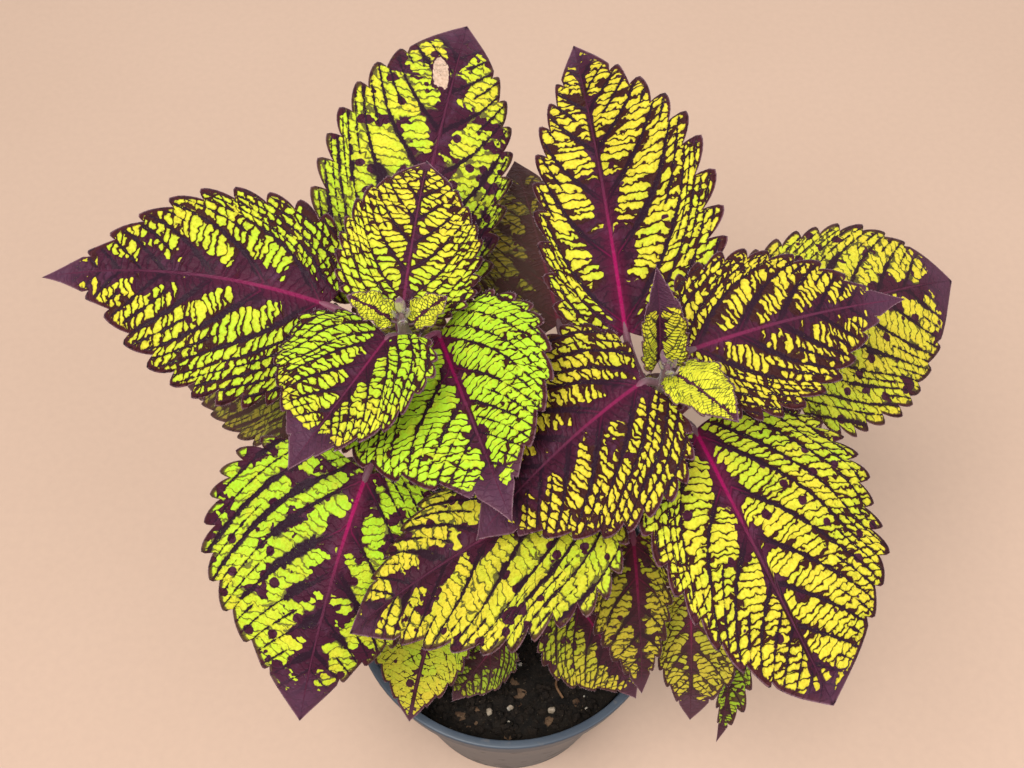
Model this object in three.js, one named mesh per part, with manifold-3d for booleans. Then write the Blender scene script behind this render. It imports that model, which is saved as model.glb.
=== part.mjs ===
import * as THREE from 'three';
import Module from 'manifold-3d';

// A coleus with two leafy shoots, growing in a round nursery pot.
// Millimetres and degrees, +Z up. The origin is the middle of the pot's flat base.

const wasm = await Module();
wasm.setup();
const { Manifold } = wasm;

const UP = new THREE.Vector3(0, 0, 1);
const RIGHT = new THREE.Vector3(1, 0, 0);

// Clearance that separate pieces keep from each other.
const GAP = 0.3;

const POT = {
  height: 98,
  rimRadius: 60, // outside of the lip
  baseRadius: 42,
  wall: 1.6,
  floor: 2.4,
  collar: 13, // height of the widened band under the lip
  collarStep: 2.2, // how far the band stands out from the wall below it
  lip: 1.6, // how far the lip overhangs the band
  lipHeight: 2.4,
  sides: 48,
  drainHoles: 8,
  drainRadius: 4,
  drainCircle: 29,
};

const SOIL = {
  level: 87, // mean height of the surface
  bump: 1.3,
  rings: 5,
};

const STEM = {
  foot: 66, // lower end, in the soil
  fork: 104, // where the two shoots part
  mainHalfWidth: 3.6,
  shootHalfWidth: 3.1,
  tipHalfWidth: 1.4,
  nodeSwelling: 0.6,
  bud: 3, // height of the pointed bud on each shoot
  budHalfWidth: 0.6,
  rings: 7,
};

// Growing tips of the two shoots, and the heights at which leaves leave them.
const SHOOTS = {
  left: { tip: [-30, 18, 254], joints: [246, 238, 214, 184, 146, 124] },
  right: { tip: [44, 3, 251], joints: [244, 230, 206, 176, 142, 124] },
};

const STALK = { radius: 1.2, bladeRadius: 0.8, endsAt: 0.3, sink: 0.5, sides: 6, rings: 4 };

const BLADE = { thickness: 0.8, midribSteps: 24, ribs: 7, midLine: 0.55, waves: 2.5 };

// Half outline of a blade from base to tip, in parts of its length and half width: of one that is drawn
// out to a slender tip, and of one that is full up to a blunt tip.
const OUTLINE_X = [0, -0.05, -0.04, 0.04, 0.15, 0.28, 0.42, 0.55, 0.68, 0.8, 0.9, 1];
const SLENDER_Y = [0, 0.28, 0.58, 0.82, 0.96, 1, 0.94, 0.79, 0.54, 0.24, 0.1, 0];
const FULL_Y = [0, 0.28, 0.58, 0.84, 0.98, 1, 1, 0.95, 0.82, 0.6, 0.36, 0];

// Where the side vein that runs to each of those points leaves the midrib.
const VEIN_FOOT = [0, 0, 0.01, 0.04, 0.09, 0.17, 0.27, 0.39, 0.52, 0.66, 0.81, 1];

// Rounded teeth that lean towards the tip.
const TEETH = { first: 0.07, last: 0.84, height: 0.036, crest: 0.7, samples: [0, 0.7] };

const DEFAULT_LEAF = {
  bend: 24, sway: 0, roll: 0, fold: 4, cup: 0.08, wave: 1.2, teeth: 12, full: 0.3, skew: 0, tint: 'yellow',
};

// Leaves. on and at say which shoot a leaf grows from and how high.
// stalk is [heading, rise, length] of its stalk and blade is [heading, rise, length, width].
// bend is how far the blade arches down, sway how far it turns sideways, roll how far it tips over,
// fold how far its halves stand up from the midrib and cup how far its margins curl down.
// full is how blunt its tip is, from 0 to 1, and skew how much wider its left half is than its right.
const LEAVES = {
  leaf_left_0_left: {
    on: 'left', at: 252, stalk: [175, 30, 4], blade: [159, 20, 14, 10],
    fold: 17, teeth: 6, full: 0.7, tint: 'green',
  },
  leaf_left_0_right: {
    on: 'left', at: 252, stalk: [-10, 30, 4], blade: [37, 12, 12, 10],
    fold: 15, teeth: 6, full: 0.6, tint: 'green',
  },
  leaf_left_1_back: {
    on: 'left', at: 246, stalk: [94, 32, 9], blade: [82, 16, 46, 40],
    roll: 12, fold: 2, teeth: 10, full: 0.82, tint: 'green',
  },
  leaf_left_1_front: {
    on: 'left', at: 246, stalk: [-152, 28, 6], blade: [-126, -14, 47, 51],
    sway: -11, roll: 14, fold: 15, teeth: 10, full: 0.12, skew: -0.05, tint: 'green',
  },
  leaf_left_2_left: {
    on: 'left', at: 238, stalk: [152, 12, 28], blade: [174, 1, 87, 62],
    bend: 30, sway: 13, roll: -20, full: 0, skew: 0.12, tint: 'green',
  },
  leaf_left_2_right: {
    on: 'left', at: 238, stalk: [35, -2, 11], blade: [-70, -3, 64, 68],
    sway: 4, roll: 20, fold: 13, teeth: 10, full: 0, skew: -0.12, tint: 'green',
  },
  leaf_left_3_back: {
    on: 'left', at: 214, stalk: [103, 18, 33], blade: [78, 15, 102, 57],
    bend: 28, sway: 5, roll: 15, fold: 0, full: 1, skew: 0.14, tint: 'green',
  },
  leaf_left_3_front: {
    on: 'left', at: 214, stalk: [-123, -9, 29], blade: [-109, -35, 80, 78],
    bend: 21, sway: 6, roll: -17, fold: -16, full: 0.32, skew: -0.11, tint: 'green',
  },
  leaf_left_4_left: {
    on: 'left', at: 184, stalk: [143, 16, 43], blade: [179, -8, 56, 56],
    full: 0.5, tint: 'dark',
  },
  leaf_left_4_right: {
    on: 'left', at: 184, stalk: [-40, 5, 25], blade: [-72, -22, 46, 34],
    teeth: 9, tint: 'dark',
  },
  leaf_left_5_front: {
    on: 'left', at: 146, stalk: [-111, -11, 31], blade: [-109, -40, 46, 33],
    sway: 5, roll: -4, teeth: 9, full: 0.36, skew: -0.13, tint: 'green',
  },
  leaf_left_5_back: {
    on: 'left', at: 146, stalk: [110, 20, 35], blade: [112, 0, 60, 44],
    teeth: 10, tint: 'dark',
  },
  leaf_left_6_front: {
    on: 'left', at: 124, stalk: [-84, -23, 31], blade: [-132, -21, 28, 22],
    teeth: 7, tint: 'green',
  },
  leaf_left_6_back: {
    on: 'left', at: 124, stalk: [152, 12, 34], blade: [160, -14, 52, 40],
    teeth: 9, tint: 'dark',
  },
  leaf_right_0_back: {
    on: 'right', at: 249, stalk: [120, 40, 5], blade: [100, 60, 28, 18],
    fold: 45, teeth: 7,
  },
  leaf_right_0_front: {
    on: 'right', at: 249, stalk: [-30, 35, 4], blade: [-49, 8, 23, 17],
    fold: 15, teeth: 7, full: 0.5,
  },
  leaf_right_1_right: {
    on: 'right', at: 244, stalk: [47, 26, 12], blade: [18, -4, 70, 48],
    roll: 14, fold: 0, full: 0,
  },
  leaf_right_1_left: {
    on: 'right', at: 244, stalk: [-170, 20, 7], blade: [-144, -29, 66, 64],
    sway: 9, roll: 6, fold: 2, teeth: 11, full: 0.2,
  },
  leaf_right_2_back: {
    on: 'right', at: 230, stalk: [108, 12, 26], blade: [97, 7, 110, 54],
    roll: -15, fold: 18, full: 0.42, skew: -0.22,
  },
  leaf_right_2_front: {
    on: 'right', at: 230, stalk: [-32, 0, 13], blade: [-64, -17, 86, 72],
    bend: 28, sway: 10, roll: -11, full: 1, skew: 0.22,
  },
  leaf_right_3_right: {
    on: 'right', at: 206, stalk: [38, 8, 57], blade: [25, -7, 75, 66],
    bend: 26, sway: -10, roll: 20, fold: -5, full: 1, skew: -0.14,
  },
  leaf_right_3_left: {
    on: 'right', at: 206, stalk: [-129, 22, 25], blade: [-155, -21, 86, 62],
    bend: 16, sway: 15, roll: 11, fold: 9, full: 0.5, skew: 0.22,
  },
  leaf_right_4_back: {
    on: 'right', at: 176, stalk: [104, 20, 60], blade: [103, 8, 68, 52],
    teeth: 10, tint: 'dark',
  },
  leaf_right_4_front: {
    on: 'right', at: 176, stalk: [-67, 22, 24], blade: [-82, -53, 58, 25],
    teeth: 10, full: 0.3, skew: -0.2,
  },
  leaf_right_5_right: {
    on: 'right', at: 142, stalk: [-27, 9, 50], blade: [-88, -43, 47, 31],
    teeth: 8, full: 0.48, skew: 0.22, tint: 'dark',
  },
  leaf_right_5_left: {
    on: 'right', at: 142, stalk: [125, 0, 42], blade: [122, -12, 62, 46],
    teeth: 10, tint: 'dark',
  },
  leaf_right_6_front: {
    on: 'right', at: 124, stalk: [-59, 36, 34], blade: [-50, -39, 42, 40],
    roll: 12, teeth: 8, full: 0.1, skew: -0.04,
  },
  leaf_right_6_right: {
    on: 'right', at: 124, stalk: [-16, 8, 68], blade: [-90, -45, 56, 16],
    sway: -40, roll: -10, fold: 34, teeth: 8, full: 0.2, skew: 0.15, tint: 'green',
  },
  leaf_right_6_back: {
    on: 'right', at: 124, stalk: [62, 20, 42], blade: [50, -8, 58, 44],
    teeth: 10, tint: 'dark',
  },
};

const LOOKS = {
  leaf_yellow: { color: 0xb5b523, roughness: 0.6 },
  leaf_green: { color: 0x86b52a, roughness: 0.6 },
  leaf_dark: { color: 0x5a4233, roughness: 0.65 },
  stem: { color: 0x6b3a4a, roughness: 0.6 },
  pot: { color: 0x3c4652, roughness: 0.55 },
  soil: { color: 0x2a201a, roughness: 0.95 },
};

const radians = THREE.MathUtils.degToRad;

// Unit vector from its compass heading, anticlockwise from +X, and its rise above level.
function direction(heading, rise) {
  const level = Math.cos(radians(rise));
  return new THREE.Vector3(
    level * Math.cos(radians(heading)),
    level * Math.sin(radians(heading)),
    Math.sin(radians(rise)),
  );
}

// Smooth curve through evenly spaced values, read at a fraction from 0 to 1.
function readCurve(values, fraction) {
  const place = fraction * (values.length - 1);
  const i = Math.min(Math.floor(place), values.length - 2);
  const t = place - i;
  const before = values[Math.max(i - 1, 0)];
  const from = values[i];
  const to = values[i + 1];
  const after = values[Math.min(i + 2, values.length - 1)];
  const slope = to - before;
  const square = 2 * before - 5 * from + 4 * to - after;
  const cube = 3 * (from - to) + after - before;
  return from + 0.5 * t * (slope + t * (square + t * cube));
}

function solid(points, triangles) {
  const mesh = new wasm.Mesh({
    numProp: 3,
    vertProperties: new Float32Array(points.flatMap((point) => point.toArray())),
    triVerts: new Uint32Array(triangles.flat()),
  });
  return new Manifold(mesh);
}

// Closed solid over a row of rings, whose points run anticlockwise about the way they follow.
function skin(rings) {
  const sides = rings[0].length;
  const last = (rings.length - 1) * sides;
  const triangles = [];
  for (let ring = 0; ring < last; ring += sides) {
    for (let i = 0; i < sides; i += 1) {
      const a = ring + i;
      const b = ring + ((i + 1) % sides);
      triangles.push([a, b, b + sides], [a, b + sides, a + sides]);
    }
  }
  for (let i = 1; i + 1 < sides; i += 1) {
    triangles.push([0, i + 1, i], [last, last + i, last + i + 1]);
  }
  return solid(rings.flat(), triangles);
}

// Ring of the given cross-section about a point of a path.
function ring(centre, along, across, section, size) {
  const side = across.clone().addScaledVector(along, -across.dot(along)).normalize();
  const other = along.clone().cross(side);
  return section.map(([a, b]) =>
    centre.clone().addScaledVector(side, a * size).addScaledVector(other, b * size));
}

// Cross-section of the stem: a square with its corners cut off.
const FLAT = 0.55;
const SQUARE = [
  [1, -FLAT], [1, FLAT], [FLAT, 1], [-FLAT, 1],
  [-1, FLAT], [-1, -FLAT], [-FLAT, -1], [FLAT, -1],
];

const ROUND = Array.from({ length: STALK.sides }, (_, i) => {
  const turn = (2 * Math.PI * i) / STALK.sides;
  return [Math.cos(turn), Math.sin(turn)];
});

// ---- Stem ----

// Point on the middle line of a shoot at a height: it bows outwards and then grows upright.
function shootPoint(shoot, height) {
  const [x, y, top] = SHOOTS[shoot].tip;
  const climb = (height - STEM.fork) / (top - STEM.fork);
  const spread = Math.sin((Math.min(climb, 1) * Math.PI) / 2);
  return new THREE.Vector3(x * spread, y * spread, height);
}

// The square stem with its two shoots, made wider all round by a margin.
function stemSolid(margin) {
  const mainRings = [STEM.foot - margin, STEM.fork + 6].map((height) =>
    ring(new THREE.Vector3(0, 0, height), UP, RIGHT, SQUARE, STEM.mainHalfWidth + margin));
  const shoots = Object.keys(SHOOTS).map((shoot) => {
    const top = SHOOTS[shoot].tip[2];
    const heights = Array.from({ length: STEM.rings + 1 }, (_, i) =>
      STEM.fork + ((top - STEM.fork) * i) / STEM.rings);
    for (const joint of SHOOTS[shoot].joints) {
      heights.push(joint - 1.5, joint, joint + 1.5);
    }
    heights.sort((a, b) => a - b);
    const rings = heights.map((height) => {
      const climb = (height - STEM.fork) / (top - STEM.fork);
      const swelling = SHOOTS[shoot].joints.includes(height) ? STEM.nodeSwelling : 0;
      const halfWidth = THREE.MathUtils.lerp(STEM.shootHalfWidth, STEM.tipHalfWidth, climb);
      const along = shootPoint(shoot, height + 1).sub(shootPoint(shoot, height - 1)).normalize();
      return ring(shootPoint(shoot, height), along, RIGHT, SQUARE, halfWidth + swelling + margin);
    });
    const bud = shootPoint(shoot, top + STEM.bud);
    return skin([...rings, ring(bud, UP, RIGHT, SQUARE, STEM.budHalfWidth + margin)]);
  });
  return Manifold.union([skin(mainRings), ...shoots]);
}

// ---- Leaves ----

// Frames along a midrib: where it is, which way it runs, which way is across and which way is up.
function midribFrames(leaf, base) {
  const [heading, rise, length] = leaf.blade;
  const alongAt = (step) => {
    const part = step / BLADE.midribSteps - 0.5;
    return direction(heading + leaf.sway * part, rise - leaf.bend * part);
  };
  const point = base.clone();
  const frames = [];
  for (let i = 0; i <= BLADE.midribSteps; i += 1) {
    const along = alongAt(i);
    const across = UP.clone().cross(along).normalize().applyAxisAngle(along, radians(leaf.roll));
    frames.push({ point: point.clone(), along, across, up: along.clone().cross(across) });
    point.addScaledVector(alongAt(i + 0.5), length / BLADE.midribSteps);
  }
  return frames;
}

// Point of the blade's middle layer. x is along the midrib in parts of its length, y across in mm.
function bladePoint(leaf, frames, x, y) {
  const [, , length, width] = leaf.blade;
  const place = THREE.MathUtils.clamp(x, 0, 1) * BLADE.midribSteps;
  const i = Math.min(Math.floor(place), BLADE.midribSteps - 1);
  const t = place - i;
  const from = frames[i];
  const to = frames[i + 1];
  const side = Math.abs(y);
  const reach = side / (width / 2);
  const turn = 2 * Math.PI * (BLADE.waves * x + (y > 0 ? 0.5 : 0));
  const lift = side * Math.sin(radians(leaf.fold)) - leaf.cup * side * reach
    + leaf.wave * reach * reach * Math.sin(turn);
  const up = from.up.clone().lerp(to.up, t);
  const across = from.across.clone().lerp(to.across, t);
  const point = from.point.clone().lerp(to.point, t)
    .addScaledVector(from.along, Math.min(x, 0) * length)
    .addScaledVector(across, y * Math.cos(radians(leaf.fold)))
    .addScaledVector(up, lift);
  return { point, up };
}

// Outline point at a fraction of the way from base to tip, moved outwards by a distance.
function outlinePoint(leaf, fraction, outwards) {
  const [, , length, width] = leaf.blade;
  const place = (at) => {
    const y = THREE.MathUtils.lerp(readCurve(SLENDER_Y, at), readCurve(FULL_Y, at), leaf.full);
    return [readCurve(OUTLINE_X, at) * length, (y * width) / 2];
  };
  const [x, y] = place(fraction);
  const [aheadX, aheadY] = place(Math.min(fraction + 0.01, 1));
  const step = Math.hypot(aheadX - x, aheadY - y);
  return [
    (x - (outwards * (aheadY - y)) / step) / length,
    y + (outwards * (aheadX - x)) / step,
  ];
}

// Height of a tooth over the outline, at a fraction of the way along the tooth.
function toothProfile(part) {
  const rounded = part < TEETH.crest
    ? Math.sin((Math.PI / 2) * (part / TEETH.crest))
    : Math.cos((Math.PI / 2) * ((part - TEETH.crest) / (1 - TEETH.crest)));
  return Math.max(rounded, 0) ** 0.7 - 0.4;
}

// Fractions and outward offsets of the toothed margin's points.
function marginPoints(leaf) {
  const [, , length] = leaf.blade;
  const points = [];
  const pitch = (TEETH.last - TEETH.first) / leaf.teeth;
  for (let tooth = 0; tooth < leaf.teeth; tooth += 1) {
    const size = length * TEETH.height * (0.6 + 0.4 * Math.sin((Math.PI * (tooth + 0.5)) / leaf.teeth));
    for (const part of TEETH.samples) {
      points.push([TEETH.first + pitch * (tooth + part), size * toothProfile(part)]);
    }
  }
  return [...points, [TEETH.last, 0], [(TEETH.last + 1) / 2, 0]];
}

// Triangles between two lines of points that start together and end together.
function stitch(outer, inner) {
  const triangles = [];
  let a = 0;
  let b = 0;
  while (a < outer.length - 1 || b < inner.length - 1) {
    const outerNext = a < outer.length - 1 ? outer[a + 1].at : Infinity;
    const innerNext = b < inner.length - 1 ? inner[b + 1].at : Infinity;
    if (outerNext <= innerNext) {
      triangles.push([inner[b].index, outer[a].index, outer[a + 1].index]);
      a += 1;
    } else {
      triangles.push([inner[b].index, outer[a].index, inner[b + 1].index]);
      b += 1;
    }
  }
  return triangles.filter(([p, q, r]) => p !== q && q !== r && r !== p);
}

// The blade: the same triangles on its upper and lower face, joined by a thin toothed margin.
function bladeSolid(leaf, frames) {
  const middle = [];
  const addPoint = (at, x, y) => {
    middle.push(bladePoint(leaf, frames, x, y));
    return { at, index: middle.length - 1 };
  };
  const base = addPoint(0, 0, 0);
  const tip = addPoint(1, 1, 0);
  const line = (points) => [base, ...points, tip];
  const stations = Array.from({ length: BLADE.ribs }, (_, i) => (i + 1) / (BLADE.ribs + 1));
  const midrib = line(stations.map((at) => addPoint(at, readCurve(VEIN_FOOT, at), 0)));
  const faces = [1, -1].flatMap((side) => {
    const spread = side * (1 + side * leaf.skew);
    const middleLine = line(stations.map((at) => {
      const foot = readCurve(VEIN_FOOT, at);
      const [x, y] = outlinePoint(leaf, at, 0);
      return addPoint(at, foot + (x - foot) * BLADE.midLine ** 1.3, spread * y * BLADE.midLine);
    }));
    const margin = line(marginPoints(leaf).map(([at, outwards]) => {
      const [x, y] = outlinePoint(leaf, at, outwards);
      return addPoint(at, x, spread * y);
    }));
    const half = [...stitch(margin, middleLine), ...stitch(middleLine, midrib)];
    return side > 0 ? half.map(([a, b, c]) => [a, c, b]) : half;
  });
  const halfThickness = BLADE.thickness / 2 / Math.cos(radians(leaf.fold));
  const upper = middle.map(({ point, up }) => point.clone().addScaledVector(up, halfThickness));
  const lower = middle.map(({ point, up }) => point.clone().addScaledVector(up, -halfThickness));
  const count = middle.length;
  const edges = new Set(faces.flatMap(([a, b, c]) => [`${a},${b}`, `${b},${c}`, `${c},${a}`]));
  const walls = [...edges].map((edge) => edge.split(',').map(Number))
    .filter(([a, b]) => !edges.has(`${b},${a}`))
    .flatMap(([a, b]) => [[b, a, a + count], [b, a + count, b + count]]);
  const underside = faces.map(([a, b, c]) => [a + count, c + count, b + count]);
  return solid([...upper, ...lower], [...faces, ...underside, ...walls]);
}

// The stalk, which runs on under the blade as the thick start of its midrib.
function stalkSolid(leaf, root, frames) {
  const [heading, rise, length] = leaf.stalk;
  const base = frames[0].point.clone().addScaledVector(frames[0].up, -STALK.sink);
  const leave = root.clone().addScaledVector(direction(heading, rise), length / 3);
  const arrive = base.clone().addScaledVector(frames[0].along, -length / 3);
  const curve = new THREE.CubicBezierCurve3(root, leave, arrive, base);
  const rings = [];
  for (let i = 0; i < STALK.rings; i += 1) {
    const t = i / STALK.rings;
    const along = curve.getTangent(t);
    rings.push(ring(curve.getPoint(t), along, UP.clone().cross(along), ROUND, STALK.radius));
  }
  for (const x of [0, STALK.endsAt]) {
    const frame = frames[Math.round(x * BLADE.midribSteps)];
    const centre = frame.point.clone().addScaledVector(frame.up, -STALK.sink);
    const radius = x === 0 ? STALK.radius : STALK.bladeRadius;
    rings.push(ring(centre, frame.along, frame.across, ROUND, radius));
  }
  return skin(rings);
}

function leafSolid(leaf, stemSpace) {
  const root = shootPoint(leaf.on, leaf.at);
  const [heading, rise, length] = leaf.stalk;
  const base = root.clone().addScaledVector(direction(heading, rise), length);
  const frames = midribFrames(leaf, base);
  return bladeSolid(leaf, frames).add(stalkSolid(leaf, root, frames)).subtract(stemSpace);
}

// ---- Pot and soil ----

const bodyTop = POT.height - POT.collar;
const collarRadius = POT.rimRadius - POT.lip;
const bodyTopRadius = collarRadius - POT.collarStep;

// Inside radius of the pot at a height.
function potInside(height) {
  if (height > bodyTop) return collarRadius - POT.wall;
  return THREE.MathUtils.lerp(POT.baseRadius, bodyTopRadius, height / bodyTop) - POT.wall;
}

// Solid turned from a closed profile of [radius, height] points, listed anticlockwise.
function turned(profile) {
  const points = [...profile, profile[0]].map(([radius, height]) => new THREE.Vector2(radius, height));
  const lathe = new THREE.LatheGeometry(points, POT.sides).rotateX(Math.PI / 2);
  return fromGeometry(lathe);
}

function fromGeometry(geometry) {
  const keys = new Map();
  const points = [];
  const place = geometry.getAttribute('position');
  const merged = Array.from({ length: place.count }, (_, i) => {
    const point = new THREE.Vector3().fromBufferAttribute(place, i);
    const key = point.toArray().map((value) => Math.round(value * 1000)).join();
    if (!keys.has(key)) {
      keys.set(key, points.length);
      points.push(point);
    }
    return keys.get(key);
  });
  const corners = Array.from(geometry.index.array, (corner) => merged[corner]);
  const triangles = [];
  for (let i = 0; i < corners.length; i += 3) {
    const [a, b, c] = corners.slice(i, i + 3);
    if (a !== b && b !== c && c !== a) triangles.push([a, b, c]);
  }
  return solid(points, triangles);
}

function potSolid() {
  const lipBottom = POT.height - POT.lipHeight;
  const pot = turned([
    [0, 0],
    [POT.baseRadius, 0],
    [bodyTopRadius, bodyTop],
    [collarRadius, bodyTop + POT.collarStep / 2],
    [collarRadius, lipBottom],
    [POT.rimRadius, lipBottom],
    [POT.rimRadius, POT.height],
    [potInside(POT.height), POT.height],
    [potInside(POT.height), bodyTop + POT.wall],
    [potInside(bodyTop), bodyTop],
    [potInside(POT.floor), POT.floor],
    [0, POT.floor],
  ]);
  const hole = Manifold.cylinder(POT.floor * 3, POT.drainRadius, POT.drainRadius, 12, true);
  const holes = Array.from({ length: POT.drainHoles }, (_, i) => {
    const turn = (2 * Math.PI * (i + 0.5)) / POT.drainHoles;
    return hole.translate([POT.drainCircle * Math.cos(turn), POT.drainCircle * Math.sin(turn), 0]);
  });
  return pot.subtract(Manifold.union(holes));
}

// Height of the soil's uneven surface, which is level where it meets the pot.
function soilHeight(radius, turn) {
  const x = radius * Math.cos(turn);
  const y = radius * Math.sin(turn);
  const lumps = Math.sin(x * 0.19 + 1) * Math.cos(y * 0.23) + 0.6 * Math.sin(x * 0.41 - y * 0.37);
  const inner = 1 - (radius / potInside(SOIL.level)) ** 4;
  return SOIL.level + SOIL.bump * lumps * inner;
}

function soilSolid(stemSpace) {
  const side = (height) => [potInside(height) - GAP, height];
  const wallHeights = [POT.floor + GAP, bodyTop - GAP];
  const edge = potInside(bodyTop) - GAP;
  const rings = wallHeights.map((height) => side(height)).map(([radius, height]) =>
    Array.from({ length: POT.sides }, (_, i) => {
      const turn = (2 * Math.PI * i) / POT.sides;
      return new THREE.Vector3(radius * Math.cos(turn), radius * Math.sin(turn), height);
    }));
  for (let step = SOIL.rings; step >= 1; step -= 1) {
    const radius = (edge * step) / SOIL.rings;
    rings.push(Array.from({ length: POT.sides }, (_, i) => {
      const turn = (2 * Math.PI * i) / POT.sides;
      return new THREE.Vector3(radius * Math.cos(turn), radius * Math.sin(turn), soilHeight(radius, turn));
    }));
  }
  return skin(rings).subtract(stemSpace);
}

// ---- Assembly ----

const coleus = new THREE.Group();
coleus.name = 'coleus';

function addPiece(name, look, manifold) {
  const { vertProperties, triVerts } = manifold.getMesh();
  const geometry = new THREE.BufferGeometry();
  geometry.setAttribute('position', new THREE.BufferAttribute(vertProperties, 3));
  geometry.setIndex(new THREE.BufferAttribute(triVerts, 1));
  geometry.computeVertexNormals();
  const piece = new THREE.Mesh(geometry, new THREE.MeshStandardMaterial(LOOKS[look]));
  piece.name = name;
  coleus.add(piece);
}

const stemSpace = stemSolid(GAP);
addPiece('pot', 'pot', potSolid());
addPiece('soil', 'soil', soilSolid(stemSpace));
addPiece('stem', 'stem', stemSolid(0));
for (const [name, row] of Object.entries(LEAVES)) {
  const leaf = { ...DEFAULT_LEAF, ...row };
  addPiece(name, `leaf_${leaf.tint}`, leafSolid(leaf, stemSpace));
}

export default coleus;
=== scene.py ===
import math
from dataclasses import dataclass
from types import SimpleNamespace

import bpy
import numpy as np
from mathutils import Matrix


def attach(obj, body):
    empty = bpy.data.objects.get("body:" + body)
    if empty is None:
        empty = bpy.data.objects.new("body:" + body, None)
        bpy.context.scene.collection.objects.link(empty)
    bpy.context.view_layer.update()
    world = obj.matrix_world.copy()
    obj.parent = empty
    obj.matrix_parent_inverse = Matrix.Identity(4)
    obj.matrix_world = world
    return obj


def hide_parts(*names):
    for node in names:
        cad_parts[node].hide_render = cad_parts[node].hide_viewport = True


# A coleus with two leafy shoots in a round nursery pot. Sizes and places are in millimetres and degrees,
# and turn into metres where a mesh is made.

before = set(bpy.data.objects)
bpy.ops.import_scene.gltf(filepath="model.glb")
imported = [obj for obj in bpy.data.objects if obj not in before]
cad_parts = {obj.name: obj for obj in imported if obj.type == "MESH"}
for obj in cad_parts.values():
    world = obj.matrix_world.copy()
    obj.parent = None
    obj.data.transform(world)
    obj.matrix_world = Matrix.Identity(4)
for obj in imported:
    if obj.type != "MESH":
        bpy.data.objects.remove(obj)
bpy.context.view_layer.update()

MM = 0.001
UP = np.array([0.0, 0.0, 1.0])
RIGHT = np.array([1.0, 0.0, 0.0])

# ---- Sizes that the solids have too ----

POT_HEIGHT = 98
POT_RIM_RADIUS = 60
POT_BASE_RADIUS = 42
POT_WALL = 1.6
POT_FLOOR = 2.4
POT_COLLAR = 13
POT_COLLAR_STEP = 2.2
POT_LIP = 1.6
POT_LIP_HEIGHT = 2.4
DRAIN_HOLES = 8
DRAIN_RADIUS = 4
DRAIN_CIRCLE = 29
GAP = 0.3

SOIL_LEVEL = 87
SOIL_BUMP = 1.3

STEM_FOOT = 66
STEM_FORK = 104
FORK_OVERLAP = 6  # how far the main stem runs up into the shoots
MAIN_HALF_WIDTH = 3.6
SHOOT_HALF_WIDTH = 3.1
TIP_HALF_WIDTH = 1.4
NODE_SWELLING = 0.6
BUD_HEIGHT = 3
SHOOT_TIPS = {"left": (-30, 18, 254), "right": (44, 3, 251)}
# How high the pairs of leaves leave each shoot, from the youngest down.
PAIR_HEIGHTS = {"left": (252, 246, 238, 214, 184, 146, 124), "right": (249, 244, 230, 206, 176, 142, 124)}

STALK_RADIUS = 1.2
STALK_BLADE_RADIUS = 0.8
STALK_SINK = 0.5
WAVES = 2.5  # along each margin
WAVE_HEIGHT = 1.2
MARGIN_CURL = 0.08

# Half outline of a blade from base to tip, in parts of its length and half width, of one that is drawn out
# to a slender tip and of one that is full up to a blunt tip, and where the row of points that runs to each
# of those places leaves the midrib.
OUTLINE_X = (0, -0.05, -0.04, 0.04, 0.15, 0.28, 0.42, 0.55, 0.68, 0.8, 0.9, 1)
SLENDER_Y = (0, 0.28, 0.58, 0.82, 0.96, 1, 0.94, 0.79, 0.54, 0.24, 0.1, 0)
FULL_Y = (0, 0.28, 0.58, 0.84, 0.98, 1, 1, 0.95, 0.82, 0.6, 0.36, 0)
VEIN_FOOT = (0, 0, 0.01, 0.04, 0.09, 0.17, 0.27, 0.39, 0.52, 0.66, 0.81, 1)

TEETH_FIRST = 0.07
TEETH_LAST = 0.84
NOTCH_DEPTH = 0.4  # the part of a tooth's height that lies inside the plain outline

# ---- Finer sizes that only the looks have ----

TOOTH_HEIGHT = 0.047  # in parts of the blade's length
TOOTH_CREST = 0.72  # where in each tooth its crest is
TOOTH_ROUNDNESS = 0.85  # the lower, the blunter
TOOTH_LEAN = 0.22  # how far a tooth's crest leans forward, in parts of the tooth
# Where each tooth has its margin points: close together at the sharp notch between two teeth. And where the
# plain margin between the last tooth and the tip has them.
TOOTH_PARTS = (0, 0.03, 0.1, 0.22, 0.36, 0.5, 0.62, 0.74, 0.86, 0.95)
END_PARTS = (0, 0.04, 0.12, 0.24, 0.38, 0.52, 0.66, 0.78, 0.88, 0.95)
ROW_LEAN = 1.3  # how late a row of points turns towards the tip on its way from the midrib to the margin
TOOTH_PULL = 6  # the higher, the closer to the margin the teeth leave the rows as they are
RIM_SLANT = 0.85  # the straight way to the margin, in parts of the way along a row
MIDRIB_STEPS = 96
UPPER_COLUMNS = 22
LOWER_COLUMNS = 9
GROWN_LENGTH = 70  # of a blade with relief and markings at their full size
BLADE_THICKNESS = 0.6
MARGIN_THICKNESS = 0.34
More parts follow.
